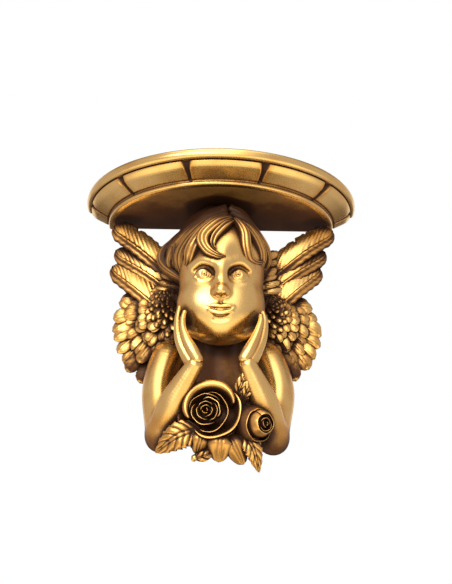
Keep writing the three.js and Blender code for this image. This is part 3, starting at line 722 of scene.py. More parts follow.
# Each lock is its path from the parting to its tip, its half-width, its thickness and how many strands it has
LOCKS = [
    ([(2.4, 33.0, -2.2), (-8.0, 31.6, -6.4), (-15.6, 27.0, -12.5),
      (-19.8, 23.4, -17.4), (-21.2, 22.4, -21.4)], 3.1, 2.4, 4),
    ([(2.2, 36.6, -4.8), (-6.6, 37.0, -11.0), (-13.6, 32.2, -17.4),
      (-17.8, 27.6, -23.2), (-18.8, 25.6, -27.5)], 3.2, 2.6, 4),
    ([(2.6, 39.0, -8.2), (-5.6, 40.2, -14.4), (-12.2, 36.4, -21.6),
      (-15.8, 31.0, -28.6), (-15.0, 29.0, -33.5)], 3.0, 2.4, 4),
    ([(-17.6, 24.5, -12.5), (-20.6, 24.0, -19.5), (-20.0, 24.4, -25.0),
      (-17.2, 26.6, -29.6), (-14.6, 29.2, -32.4)], 2.7, 2.2, 3),
    ([(2.8, 40.4, -10.5), (-4.6, 42.2, -17.0), (-9.4, 41.4, -23.6),
      (-12.4, 38.2, -27.8), (-14.6, 33.6, -29.4)], 2.7, 2.4, 3),
    ([(4.2, 40.6, -11.4), (-1.6, 43.2, -15.6), (-5.6, 44.0, -20.6),
      (-4.8, 44.8, -25.4), (-1.2, 45.4, -28.0), (2.4, 45.2, -28.2)], 2.5, 2.4, 3),
    ([(5.0, 40.6, -13.0), (1.2, 43.2, -16.6), (-1.8, 43.8, -20.6),
      (-2.2, 44.0, -24.4), (0.6, 44.6, -26.2)], 1.8, 1.8, 2),
    ([(3.6, 34.0, -2.6), (9.0, 32.4, -5.4), (13.2, 29.6, -10.6),
      (15.8, 26.0, -16.4), (16.6, 24.0, -21.0)], 2.9, 2.3, 4),
    ([(4.4, 37.4, -6.2), (9.6, 36.8, -10.4), (14.2, 33.4, -16.4),
      (17.2, 29.0, -22.4), (17.8, 27.0, -27.4)], 2.8, 2.2, 3),
    ([(5.4, 40.4, -11.6), (8.4, 41.6, -17.6), (9.2, 41.6, -23.4),
      (11.6, 39.8, -27.4), (15.2, 36.0, -27.2), (16.6, 33.0, -24.2)], 2.2, 2.1, 3),
    ([(6.4, 39.8, -11.8), (11.4, 38.8, -17.0), (14.6, 35.6, -22.8),
      (15.8, 33.0, -28.6), (13.6, 33.4, -32.2)], 2.3, 2.0, 3),
    ([(15.4, 26.0, -15.0), (16.8, 25.6, -20.4), (16.2, 27.4, -25.6),
      (14.8, 29.2, -29.0), (14.9, 29.6, -31.4)], 2.1, 1.9, 3),
    ([(13.0, 14.0, -5.0), (16.6, 15.0, -12.0), (16.8, 15.5, -20.0), (14.8, 16.0, -30.0)], 3.8, 2.4, 5),
    ([(-13.0, 14.0, -5.0), (-18.2, 14.5, -13.0), (-19.0, 15.0, -21.0), (-16.0, 16.0, -31.0)], 3.9, 2.4, 5),
    ([(14.6, 20.0, -8.0), (16.6, 20.0, -14.0), (16.8, 20.0, -21.0), (15.0, 20.6, -28.0)], 2.8, 2.2, 4),
    ([(-14.6, 21.0, -8.0), (-18.6, 20.0, -13.5), (-20.8, 19.6, -19.5),
      (-19.8, 19.6, -25.0), (-16.6, 21.0, -31.0)], 3.0, 2.2, 4),
]
LOCK_WIDTHS = np.array([0.55, 0.95, 1.0, 0.85, 0.5, 0.12])
LOCK_DEPTHS = np.array([0.7, 1.0, 1.0, 0.95, 0.7, 0.2])
LOCK_FINISH = {"groove": 1.7 * MM, "sides": 32, "wash": 0.12, "side_wash": 0.55}
for knots, wide, thick, strands in LOCKS:
    places = points(knots)
    way = unit(smooth_path(places, SWEPT_STEPS)[0] - (CAP_MIDDLE + np.array([0, 0.0, -2 * UNIT])))
    wide, thick = LOCK_WIDTHS * wide * UNIT, LOCK_DEPTHS * thick * UNIT
    hair_forms.append(swept(places, wide, thick, way, strands=strands, **LOCK_FINISH))
WISPS = 30  # low strands between the locks, all round the parting
WISP_WIDTHS = np.array([0.3, 0.8, 1.0, 0.9, 0.3]) * 2.4 * UNIT
WISP_DEPTHS = np.array([0.3, 0.9, 1.0, 0.8, 0.3]) * 1.3 * UNIT
WISP_FINISH = {"strands": 3, "groove": 1.1 * MM, "wash": 0.5, "side_wash": 0.4}
for turn in np.linspace(0, 2 * np.pi, WISPS, endpoint=False):
    sway = chance.uniform(-0.25, 0.25)
    run = np.linspace(0.12, 1.65 + chance.uniform(-0.15, 0.15), 6)
    places = over_cap(run, turn + sway * np.sin(run * 2.2), np.full(6, 0.3 * UNIT))
    way = unit(smooth_path(places, SWEPT_STEPS)[0] - CAP_MIDDLE)
    hair_forms.append(swept(places, WISP_WIDTHS, WISP_DEPTHS, way, **WISP_FINISH))

# Back of the head: a plainer grooved mass between the cap and the wall
NAPE_ROWS, NAPE_COLUMNS = 40, 160
spread = np.linspace(0.05, np.pi - 0.05, NAPE_ROWS)[:, None]
around = (np.arange(NAPE_COLUMNS) * 2 * np.pi / NAPE_COLUMNS)[None]
strand = np.abs(np.sin(17 * around + 3 * np.sin(spread * 2)))
wide = np.sin(spread) * (1 + 0.03 * strand)
nape = np.stack([wide * np.cos(around), wide * np.sin(around), np.cos(spread) + 0 * around], -1)
nape = at(0.4, 9.0, -24.0) + nape * np.array([17.2, 14.0, 22.5]) * UNIT
nape_faces = grid_faces(NAPE_ROWS, NAPE_COLUMNS, closed=True)
nape_faces.append(list(range(NAPE_COLUMNS))[::-1])
nape_faces.append(list(range((NAPE_ROWS - 1) * NAPE_COLUMNS, NAPE_ROWS * NAPE_COLUMNS)))
hair_forms.append((nape.reshape(-1, 3), nape_faces, (0.9 - 0.5 * strand + 0 * spread).ravel()))

# The whole head of hair is trimmed to the face, pressed down a little in front and kept off the wall and the
# shelf. Painted shade darkens the crown under the shelf and the hair toward the back.
trimmed = []
for n, (form, form_faces, form_wash_and_shade) in enumerate(hair_forms):
    out, down = -form[:, 1] / UNIT, -form[:, 2] / UNIT
    high_up = 1 - ease(down, 9, 20)
    trim = 1 - 0.34 * ease(down, 22, 36)
    trim = trim - np.where(form[:, 0] < HEAD_X * UNIT, 0.17, 0.12) * high_up
    form[:, 0] = HEAD_X * UNIT + (form[:, 0] - HEAD_X * UNIT) * trim
    pressed = ease(out, 21, 33) * (1 - ease(down, 4, 15))
    form[:, 2] = form[:, 2] - 2.6 * UNIT * pressed
    form[:, 1] = np.minimum(form[:, 1], -(1.5 + 0.02 * n) * MM)
    form[:, 2] = np.minimum(form[:, 2], 1.5 * MM)
    # Painted shade on the crown, under the shelf, and on the hair toward the wall.
    crown_shade = ease(form[:, 2] / UNIT, -19, -10) * 0.9 * (1 - 0.3 * ease(-form[:, 1] / UNIT, 36, 41))
    crown_shade = crown_shade + ease(form[:, 2] / UNIT, -13, -5) * 0.5 + ease(form[:, 1] / UNIT, -33, -16) * 0.4
    trimmed.append((form, form_faces, form_wash_and_shade + crown_shade))
hair = gather("hair", trimmed)
cast(hair, gold_paint)


# Wings. Long flight feathers that run up to the shelf, each with its shaft, its barbs and a few splits, small
# coverts over their roots, and a flat board of resin behind that carries them and lies against the wall.
def closed_sheet(top, under, wash, under_wash=None):
    """A thin closed form between two grids of points."""
    rows, columns = top.shape[:2]
    count = rows * columns
    faces = grid_faces(rows, columns) + [f[::-1] for f in grid_faces(rows, columns, first=count)]
    edge = list(range(columns)) + [r * columns + columns - 1 for r in range(1, rows)]
    edge += [(rows - 1) * columns + c for c in range(columns - 2, -1, -1)]
    edge += [r * columns for r in range(rows - 2, 0, -1)]
    faces += [[b, a, a + count, b + count] for a, b in zip(edge, edge[1:] + edge[:1])]
    shade = np.concatenate([np.ravel(wash), np.ravel(wash + 0.3 if under_wash is None else under_wash)])
    return np.concatenate([top.reshape(-1, 3), under.reshape(-1, 3)]), faces, shade


def blade(knots, rows, columns, face_way):
    """The middle line of a feather or leaf, its two ways, and shares along it and across it."""
    path, along = smooth_path(knots, rows)
    face_way = np.asarray(face_way, float)
    out = unit(face_way - along * (along @ face_way)[:, None])
    t, s = np.linspace(0, 1, rows)[:, None], np.linspace(-1, 1, columns)[None]
    return path, np.cross(along, out), out, t, s


FEATHER_WIDTHS = [0.92, 0.98, 1.0, 1.0, 1.0, 0.96, 0.86]


def feather(knots, wide, face_way, rows, columns, barbs, depth, blunt, bow=0.9, shaft=0.35, splits=(), upper=1,
            thick=1.4, line_wash=0.6, edge_wash=0.4, ground_and_shade=0.04, high_at=0.0, seed=0):
    """A feather's blade along its shaft line; shaft is where the shaft lies between its two edges. Its upper
    vane swells more when high_at is over 0, and splits are (place, how far in) along its edge."""
    luck = np.random.default_rng(seed)
    path, side, out, t, s = blade(knots, rows, columns, face_way)
    tip = np.sqrt(np.clip(1 - ((t - 1 + blunt) / blunt).clip(0) ** 2.2, 0.004, 1))
    shape = values(FEATHER_WIDTHS, t[:, 0])[:, None] * tip
    edge = 1 + 0.035 * np.sin(t * 61 + s) * np.abs(s)
    for place, reach_in in splits:
        notch = np.exp(-(((t - place - 0.05 * np.abs(s)) / 0.008) ** 2))
        edge = edge - notch * reach_in * np.maximum(0, s * upper) ** 2
    across = s * wide * shape * edge
    from_shaft = s - (2 * shaft - 1)
    lower_vane = from_shaft * upper < 0
    faint = np.where(lower_vane, 1 - 2 * high_at, 1)
    slant = t - 0.22 * np.abs(from_shaft)
    vein = np.abs(np.sin(np.pi * barbs * slant + 0.6 * np.sin(7 * t)))
    wander = 0.5 + 0.5 * np.sin(np.pi * barbs * 0.23 * slant + luck.uniform(0, 6))
    dome = bow * wide * (1 - (s - high_at * upper) ** 2) * 0.42 * shape
    ridge = np.exp(-((from_shaft / 0.09) ** 2)) * 0.22 * wide
    relief = (vein - 1) * depth * wide * (1.3 - wander) * (1 - np.exp(-((from_shaft / 0.12) ** 2)))
    relief = relief * faint
    relief = relief + 0.04 * wide * np.sin(5.2 * t * bow + 2.4 * s + luck.uniform(0, 6)) * shape
    rise = dome + ridge * (1 - 0.6 * t) + relief
    sink = thick * UNIT * 0.5 + 0 * rise
    top = path[:, None] + side[:, None] * across[..., None] + out[:, None] * rise[..., None]
    under = path[:, None] + side[:, None] * (across * 0.96)[..., None] - out[:, None] * sink[..., None]
    rim = np.maximum(ease(np.abs(s), 0.8, 0.96), ease(t, 0.86, 0.97))
    lines = line_wash * ease(1 - vein, 0.5, 1.0) * (1.3 - wander) * faint
    wash = ground_and_shade + lines + edge_wash * rim + 0.5 * ease(-t, -0.45, 0)
    if high_at > 0:
        wash = wash + 0.5 * np.exp(-((from_shaft / 0.1 + 1.4 * upper) ** 2)) + 0.35 * lower_vane
    return closed_sheet(top, under, wash)


FANS = {  # the root of each fan, its reach level with the root, and how much longer it is for each degree below
    -1: {"centre": (-15.4, -34.1), "reach": 22.6, "growth": 0.152},
    1: {"centre": (16.8, -34.6), "reach": 18.2, "growth": 0.195},
}
FLIGHTS = {  # root, middle, tip and half-width of each flight feather
    -1: [
        ((-14.0, 10.5, -24.4), (-28.5, 12.0, -12.0), (-40.6, 8.8, -2.2), 4.7),
        ((-12.0, 10.2, -31.4), (-26.0, 11.0, -20.9), (-39.8, 7.2, -11.6), 4.4),
        ((-14.0, 10.8, -41.5), (-27.5, 11.8, -29.4), (-40.6, 7.6, -18.2), 4.8),
    ],
    1: [
        ((15.5, 10.5, -24.4), (30.0, 12.0, -12.0), (42.8, 8.8, -2.6), 4.7),
        ((14.0, 10.2, -31.4), (27.0, 11.0, -20.5), (40.0, 7.2, -10.8), 4.4),
        ((14.5, 10.8, -40.0), (26.5, 11.8, -27.8), (37.8, 7.6, -17.6), 4.8),
    ],
}
FLIGHT_SHAPE = {"rows": 60, "columns": 25, "barbs": 13, "depth": 0.04, "blunt": 0.15, "bow": 0.5, "thick": 4.0}
FLIGHT_FINISH = {"line_wash": 0.8, "high_at": 0.35}
COVERT_SHAPE = {"rows": 24, "columns": 13, "barbs": 9, "depth": 0.05, "blunt": 0.3, "bow": 1.2}
COVERTS, COVERTS_IN_FIRST = 15, 8  # over the roots of the flights, in two layers
wing_forms = []
for side, flights in FLIGHTS.items():
    for n, (root, middle, tip, wide) in enumerate(flights):
        splits = [(p, chance.uniform(0.25, 0.5)) for p in chance.uniform(0.25, 0.9, 4)]
        own = {"shaft": 0.76 if side > 0 else 0.24, "splits": splits, "upper": -side, "seed": n + 5 * side + 9}
        way = (-0.1 * side, -1, 0.2)
        flight = points([root, middle, tip])
        wing_forms.append(feather(flight, wide * UNIT, way, **FLIGHT_SHAPE, **FLIGHT_FINISH, **own))
    for n in range(COVERTS):
        layer, place = divmod(n, COVERTS_IN_FIRST)
        start = np.array([side * (10.5 - 2.5 * layer), 12.2 + 1.3 * layer, -20.5 - 2.5 * place - 0.8 * layer])
        rise = 0.62 - 0.045 * place + chance.uniform(-0.05, 0.05)
        run = np.array([side, 0.0, rise]) / np.hypot(1, rise) * (13.5 - 2.5 * layer) * chance.uniform(0.92, 1.1)
        covert = points([start, start + run * 0.5 + (0, 0.9, 0.3), start + run + (0, -0.6, 0)])
        wide = 1.9 * chance.uniform(0.9, 1.1) * UNIT
        wing_forms.append(feather(covert, wide, (0, -1, 0.1), seed=n + 40, **COVERT_SHAPE))
    fan = FANS[side]
    x, z = fan["centre"]
    edge = [(x - side * 6, -12)]
    edge += [(r[0] + 0.5 * (t[0] - r[0]), r[2] + 0.5 * (t[2] - r[2])) for r, _, t, _ in flights]
    for turn in np.linspace(-6, 68, 9):
        reach = (fan["reach"] + fan["growth"] * turn) * 0.84
        edge.append((x + side * reach * np.cos(np.radians(turn)), z - reach * np.sin(np.radians(turn))))
    edge.append((x - side * 6, -60))
    corners = len(edge)
    board = np.array([at(px, out, pz) for out in (0, 3.6, 4.6) for px, pz in edge])
    middle = at(x + side * 4, 4.6, -36)
    board[2 * corners :] = middle + (board[2 * corners :] - middle) * (0.94, 1, 0.94)
    board_faces = grid_faces(3, corners, closed=True)
    board_faces += [list(range(corners))[::-1], list(range(2 * corners, 3 * corners))]
    wing_forms.append((board, board_faces, 0.95))
    bed = points([(side * 13, 5, -16), (side * 17, 6, -32), (side * 17, 6, -52)])
    wing_forms.append(swept(bed, np.array([4, 7, 6]) * UNIT, np.array([4, 6, 5]) * UNIT, (0, -1, 0), wash=0.9))
core = points([(0.8, 3, 3), (0.8, 4, -30), (0.8, 5, -60)])
core_half, core_deep = np.array([11, 12, 16]) * UNIT, np.array([5, 6, 7]) * UNIT
wing_forms.append(swept(core, core_half, core_deep, (0, -1, 0), wash=0.9))
for n, form in enumerate(reversed(wing_forms)):  # no two forms share one flat plane at the wall
    form[0][:, 1] = np.minimum(form[0][:, 1], -0.03 * n * MM)
wings = gather("flight_feathers", wing_forms)
cast(wings, gold_paint)

# Fan of rounded feathers under the flights. One shell-shaped feather is repeated in rows round each wing's root,
# small by the body and larger toward the edge, every one turned and sized a little differently.
FAN_FINISH = {"shaft": 0.5, "thick": 0.06 / UNIT, "line_wash": 0.3, "edge_wash": -0.16, "ground_and_shade": 0.18}
shell_path = np.array([(0, 0, 0), (0.5, -0.16, 0), (1, -0.1, 0)], float)
shell = feather(
    shell_path, 0.29, (0, -1, 0), rows=20, columns=13, barbs=5, depth=0.03, blunt=0.34,
    splits=[(0.62, 0.25), (0.82, 0.3)], seed=3, **FAN_FINISH,
)
shell_feather = gather("shell_feather", [shell])
curl_path = np.array([(0, 0, 0.08), (0.38, -0.12, -0.06), (0.74, -0.2, -0.04), (1.0, -0.24, 0.1)], float)
curl = feather(
    curl_path, 0.24, (0, -1, 0), rows=16, columns=11, barbs=3, depth=0.03, blunt=0.4, bow=1.0, seed=4, **FAN_FINISH
)
curled_feather = gather("curled_feather", [curl])

FAN_INPUTS = {
    "Feather": "Object",
    "Paint": "Material",
    "Rows": "Int",
    "Per Row": "Int",
    "Side": "Float",
    "Centre": "Vector",
    "Reach": "Float",
    "Growth": "Float",
    "First Turn": "Float",
    "Last Turn": "Float",
    "Row Step": "Float",
    "Row Rise": "Float",
    "Length": "Float",
    "Tilt": "Float",
    "Seed": "Int",
}
fan_tree = bpy.data.node_groups.new("feather fan", "GeometryNodeTree")
for name, kind in FAN_INPUTS.items():
    fan_tree.interface.new_socket(name, in_out="INPUT", socket_type="NodeSocket" + kind)
fan_tree.interface.new_socket("Geometry", in_out="OUTPUT", socket_type="NodeSocketGeometry")
fan = Value(fan_tree)
given = fan_tree.nodes.new("NodeGroupInput")
ask = {name: Value(fan_tree, given.outputs[name]) for name in FAN_INPUTS}
index = fan.node("GeometryNodeInputIndex")
row = fan.math("FLOOR", fan.math("DIVIDE", index, ask["Per Row"]))
in_row = index - row * ask["Per Row"]
step_share = fan.math("DIVIDE", in_row + fan.math("MODULO", row, 2.0) * 0.5, ask["Per Row"] - 0.5)


def luck_of(low, high, offset):
    """A random number for each feather; every offset gives another row of numbers."""
    sockets = {"Min": low, "Max": high, "ID": index, "Seed": ask["Seed"] + offset}
    return fan.node("FunctionNodeRandomValue", {"data_type": "FLOAT"}, sockets, 1)


def vector_of(x, y, z):
    return fan.node("ShaderNodeCombineXYZ", {}, {"X": x, "Y": y, "Z": z})


def turned_by(euler):
    return fan.node("FunctionNodeEulerToRotation", {}, {"Euler": euler})


turn = ask["First Turn"] + (ask["Last Turn"] - ask["First Turn"]) * step_share + luck_of(-0.05, 0.05, 1)
share = 1 - ask["Row Step"] * row + luck_of(-0.02, 0.02, 2)
radius = (ask["Reach"] + ask["Growth"] * turn) * share
size = ask["Length"] * (share * 0.62 + 0.38) * luck_of(0.9, 1.12, 3)
root_radius = radius - size
from_centre = vector_of(
    ask["Side"] * root_radius * fan.math("COSINE", turn),
    0 - ask["Row Rise"] * row,
    0 - root_radius * fan.math("SINE", turn),
)
place = fan.node("ShaderNodeVectorMath", {"operation": "ADD"}, {0: from_centre, 1: ask["Centre"]})
yaw = (1 - ask["Side"]) * (np.pi / 2) + ask["Side"] * turn
heading = turned_by(vector_of(luck_of(-0.3, 0.3, 4), yaw + luck_of(-0.12, 0.12, 5), 0.0))
tip_out = turned_by(vector_of(0.0, 0.0, 0 - ask["Tilt"] + luck_of(-0.06, 0.06, 6)))
both_turns = {"Rotation": heading, "Rotate By": tip_out}
heading = fan.node("FunctionNodeRotateRotation", {"rotation_space": "LOCAL"}, both_turns)
spots = {"Count": ask["Rows"] * ask["Per Row"], "Position": place, "Radius": 0.001}
pattern = fan.node("GeometryNodeObjectInfo", {}, {"Object": ask["Feather"]}, "Geometry")
laying = {
    "Points": fan.node("GeometryNodePoints", {}, spots),
    "Instance": pattern,
    "Rotation": heading,
    "Scale": vector_of(size, size, size * luck_of(0.85, 1.1, 7)),
}
laid = fan.node("GeometryNodeInstanceOnPoints", {}, laying)
joined = fan.node("GeometryNodeRealizeInstances", {}, {"Geometry": laid})
painted = fan.node("GeometryNodeSetMaterial", {}, {"Geometry": joined, "Material": ask["Paint"]})
fan.node("NodeGroupOutput", {}, {"Geometry": painted})


def feather_fan(name, root_ground_and_shade, **sizes):
    """A plain mesh of the feathers that the tree lays out. Dark ground and painted shade are added by the root of
    the fan, by the share root_ground_and_shade, and painted shade under the arm, on all but the feathers' rims."""
    holder = bpy.data.objects.new(name, bpy.data.meshes.new(name))
    bpy.context.collection.objects.link(holder)
    spread = holder.modifiers.new("fan", "NODES")
    spread.node_group = fan_tree
    for socket in fan_tree.interface.items_tree:
        if socket.in_out == "INPUT":
            spread[socket.identifier] = sizes[socket.name.replace(" ", "_").lower()]
    evaluated = holder.evaluated_get(bpy.context.evaluated_depsgraph_get())
    flat = bpy.data.meshes.new_from_object(evaluated)
    holder.modifiers.clear()
    holder.data = flat
    places = np.empty(len(flat.vertices) * 3)
    flat.vertices.foreach_get("co", places)
    places = places.reshape(-1, 3)
    places[:, 1] = np.minimum(places[:, 1], 0)
    flat.vertices.foreach_set("co", places.ravel())
    shade = np.empty(len(flat.vertices), np.float32)
    flat.attributes["wash"].data.foreach_get("value", shade)
    x, out, z = sizes["centre"]
    # Dark ground and painted shade by the root of the fan, and painted shade under the arm on all but the feathers'
    # rims.
    near_root = 1 - ease(np.hypot(places[:, 0] - x, places[:, 2] - z) / sizes["reach"], 0.25, 1.05)
    shade_under_arm = ease(-places[:, 2] / UNIT, 51, 61)
    from_rim = np.clip((shade - 0.03) * 8, 0, 1)
    shade = shade + root_ground_and_shade * near_root * (0.35 + 0.65 * from_rim) + 0.85 * shade_under_arm * from_rim
    flat.attributes["wash"].data.foreach_set("value", shade.astype(np.float32))
    flat.shade_smooth()
    return holder


# Three rings of feathers a side. Feather, rows, feathers per row, share of the reach, first and last turn in
# degrees, distance from the wall, length, tilt, how much shorter each row is, and the root's ground and painted
# shade.
FAN_RINGS = [
    (shell_feather, 3, 9, 1.0, -8, 71, 6.0, 11.0, 0.12, 0.18, 0.55),
    (shell_feather, 3, 10, 0.62, -30, 80, 9.8, 7.6, 0.16, 0.2, 1.0),
    (curled_feather, 4, 10, 0.42, -84, 86, 12.0, 5.0, 0.22, 0.2, 1.5),
]
for side, wing in FANS.items():
    x, z = wing["centre"]
    side_name = "left" if side < 0 else "right"
    for n, (pattern, rows, per_row, reach, first, last, out, length, tilt, step, ground_and_shade) in enumerate(FAN_RINGS):
        made = feather_fan(
            f"fan_{side_name}_{n}",
            ground_and_shade,
            feather=pattern,
            paint=gold_paint,
            rows=rows,
            per_row=per_row,
            side=float(side),
            centre=tuple(at(x, out, z)),
            reach=wing["reach"] * reach * UNIT,
            growth=wing["growth"] * np.degrees(1) * reach * UNIT,
            first_turn=np.radians(first),
            last_turn=np.radians(last),
            row_step=step,
            row_rise=1.3 * UNIT,
            length=length * UNIT,
            tilt=tilt,
            seed=11 + n + side,
        )
        cast(made, gold_paint)
bpy.data.objects.remove(shell_feather)
bpy.data.objects.remove(curled_feather)

# Rose and bud. Each petal is a thin rolled sheet set round the flower's axis, overlapping the next; they were
# pressed on to the clay one by one, and only their rims were rubbed back to the gold.
def petal(centre, axis, start, span, sections, shift, thick, rows=20, columns=48, ruffle=0.0, phase=0.0, out=0.4,
          inside=0.25, gilt=0.78, rim_wash=0.3, tuck=0.0):
    """A sheet round the axis. Sections are (distance from the axis, height along it) from its foot to its rim;
    start turns from the left by way of below, shift moves the rim to the left and down, gilt is where the gold of
    the rim begins, and tuck draws the rim in toward the petal's two ends."""
    axis = unit(axis)
    first = unit(np.cross(axis, (0.1, 0.2, 1)))
    second = np.cross(axis, first)
    u = np.linspace(-1, 1, columns)[None]
    v = np.linspace(0, 1, rows)[:, None]
    line, line_way = smooth_path(np.array([(r, h, 0) for r, h in sections], float) * UNIT, rows)
    drop = 1 - 0.12 * np.abs(u) ** 4 + ruffle * np.sin(5.3 * u + phase) * v**2
    ripple = 1 + ruffle * np.sin(3 * u * np.pi + phase) * v**2 - 0.10 * np.abs(u) ** 6 * v
    turn = start + span / 2 * u
    ring = np.cos(turn)[..., None] * first + np.sin(turn)[..., None] * second
    moved = (first * shift[0] + second * shift[1]) * UNIT * v[..., None]
    tucked = tuck * UNIT * u**2 * ease(v, 0.5, 1.0)

    def layer(line):
        beside, ahead = line[:, :1] * ripple - tucked, line[:, 1:2] * drop
        return centre + moved + ring * beside[..., None] + axis * ahead[..., None]

    normal = np.stack([line_way[:, 1], -line_way[:, 0], 0 * line_way[:, 0]], 1)
    narrow = np.linspace(1, 0.6, rows)[:, None]
    top = layer(line - normal * thick * MM / 2 * narrow)
    under = layer(line + normal * thick * MM / 2 * narrow)
    rim = ease(v + 0 * u, gilt - 0.08, gilt + 0.08)
    return closed_sheet(top, under, inside + (rim_wash - inside) * rim, out + (0.5 * rim_wash - out) * rim)


ROSE, ROSE_AXIS = at(-1.3, 33.5, -81.4), unit((-0.06, -1, 0.10))
HEART = (1.6, 1.0)  # how far the inner petals lie to the left of the outer cup's middle, and below it
ROLLED = [(1.5, 0), (4.6, 1.0), (6.8, 3.2), (7.3, 5.8), (7.6, 7.4), (8.4, 8.4), (9.4, 8.3), (10.2, 7.4), (10.5, 6.2)]
TALL = [(1.5, 0), (4.6, 1.0), (7.4, 3.4), (8.7, 5.8), (9.2, 7.2), (9.8, 7.5)]
LOW = [(1.5, -0.5), (5.6, 0.4), (8.4, 2.4), (9.6, 4.6), (10.2, 5.4)]
OPEN = [(1.5, -0.5), (5.8, 0.6), (8.8, 2.6), (10.3, 4.4), (11.2, 4.9), (11.6, 4.5)]
CUPS = [
    [(1.2, 0.5), (4.4, 2.2), (6.3, 4.6), (6.9, 6.6), (7.2, 7.8)],
    [(1.2, 0.5), (3.8, 2.0), (5.4, 4.4), (5.8, 6.6), (6.0, 7.9)],
    [(1.0, 0.8), (3.0, 2.6), (4.3, 5.0), (4.6, 7.2), (4.8, 8.4)],
    [(1.0, 0.8), (3.0, 2.6), (4.2, 5.0), (4.4, 7.4), (4.7, 8.7)],
]
OUTER_PETALS = [  # start, span, sections, shift, thickness and the rest
    (-1.15, 3.3, ROLLED, (0.1, -0.1), 1.8, {"ruffle": 0.012, "gilt": 0.52, "tuck": 1.5, "inside": 0.5}),
    (2.6, 3.3, TALL, (-0.3, 0.2), 1.7, {"ruffle": 0.015, "phase": 2, "gilt": 0.86, "out": 0.3}),
    (1.9, 1.6, LOW, (-0.2, 0.0), 1.7, {"ruffle": 0.015, "phase": 1, "gilt": 0.7, "out": 0.15}),
    (0.75, 1.7, OPEN, (0.1, 0.1), 1.7, {"ruffle": 0.015, "phase": 4, "gilt": 0.66}),
    (3.1, 3.5, CUPS[0], HEART, 1.1, {"ruffle": 0.02, "phase": 1, "gilt": 0.93, "rim_wash": 0.4}),
    (-1.2, 2.4, CUPS[1], HEART, 1.1, {"ruffle": 0.015, "phase": 3, "gilt": 0.93, "rim_wash": 0.45}),
    (0.9, 2.9, CUPS[2], HEART, 1.0, {"ruffle": 0.016, "phase": 5, "gilt": 0.93, "rim_wash": 0.3}),
    (3.9, 2.3, CUPS[3], HEART, 1.4, {"ruffle": 0.02, "phase": 2, "gilt": 0.88, "rim_wash": 0.2}),
]
INNER_PETALS = [  # distance from the axis, start and span
    (3.7, 3.1, 2.3), (3.0, 0.7, 2.5), (2.9, 4.9, 2.0), (2.1, 2.7, 2.7), (1.6, 5.2, 2.9), (1.1, 7.6, 2.9),
    (0.55, 9.9, 3.0),
]
SMALL = {"rows": 14, "columns": 36, "gilt": 0.9}
flower_forms = []
for start, span, sections, shift, thick, rest in OUTER_PETALS:
    flower_forms.append(petal(ROSE, ROSE_AXIS, start, span, sections, shift, thick, **rest))
for n, (r, start, span) in enumerate(INNER_PETALS):
    cup = [(r * 0.6, 2.5), (r * 0.9, 5.0), (r * 0.98, 7.6), (r * 1.02, 8.7 + 0.12 * n)]
    rest = {"ruffle": 0.016, "phase": n, "rim_wash": 0.2 if n == 1 else 0.42}
    flower_forms.append(petal(ROSE, ROSE_AXIS, start, span, cup, HEART, 0.8, **SMALL, **rest))
rose_heart = [ROSE, ROSE + ROSE_AXIS * 4 * UNIT, ROSE + ROSE_AXIS * 6.5 * UNIT]
heart_half = np.array([5.0, 4.6, 2.0]) * UNIT
flower_forms.append(swept(rose_heart, heart_half, heart_half, (1, 0, 0), wash=0.5))

BUD, BUD_AXIS = at(12.9, 37.9, -84.6), unit((0.57, -0.79, -0.14))
BUD_OUTER = [(0.2, 2.9, 0.0), (2.5, 2.7, 0.15), (4.5, 2.5, 0.1)]  # start, span and how far each is pushed out
BUD_MIDDLE = [(0.9, 3.4, 0.0), (3.9, 3.2, 0.12)]
BUD_INNER = [(2.4, 2.3), (1.8, 4.8), (1.2, 7.0), (0.6, 9.4)]  # distance from the axis, and start
for start, span, push in BUD_OUTER:
    cup = [(0.8, -5.8), (4.4, -4.4), (6.0, -1.6), (6.0 + push, 0.6), (5.4 + push, 2.2), (5.1 + push, 2.9)]
    rest = {"ruffle": 0.02, "phase": start, "out": 0.85, "gilt": 0.92, "rim_wash": 0.25}
    flower_forms.append(petal(BUD, BUD_AXIS, start, span, cup, (0.2, 0.7), 1.3, **rest))
for start, span, push in BUD_MIDDLE:
    cup = [(2.8, -2.0), (4.4, 0.6), (4.4 + push, 3.0), (3.7 + push, 4.9), (3.1 + push, 5.7)]
    rest = {"ruffle": 0.02, "phase": start, "out": 0.5, "gilt": 0.93, "rim_wash": 0.15}
    flower_forms.append(petal(BUD, BUD_AXIS, start, span, cup, (-0.1, 0.1), 1.1, **rest))
for n, (r, start) in enumerate(BUD_INNER):
    cup = [(r * 0.8, 0.0), (r * 1.1, 3.0), (r * 1.05, 4.8), (r, 5.8 + 0.12 * n)]
    rest = {"ruffle": 0.018, "phase": n, "rim_wash": 0.3}
    flower_forms.append(petal(BUD, BUD_AXIS, start, 3.1, cup, (-0.1, 0.1), 0.8, **SMALL, **rest))
bud_heart = [BUD - BUD_AXIS * 5 * UNIT, BUD, BUD + BUD_AXIS * 4.2 * UNIT]
heart_half = np.array([2.5, 4.0, 1.8]) * UNIT
flower_forms.append(swept(bud_heart, heart_half, heart_half, (1, 0, 0), wash=0.8))
flowers = gather("rose_and_bud", flower_forms)
cast(flowers, gold_paint)


# Leaves. Thick blades with a midrib, side veins and a toothed edge, pressed on to the clay round the flowers, and
# under them a few rounded leaves that curl forward over a bed of clay.
LEAF_ROWS, LEAF_COLUMNS = 50, 27
LEAF_THICKNESS = 2.4 * MM
MIDRIB_GROOVE = 0.9 * MM


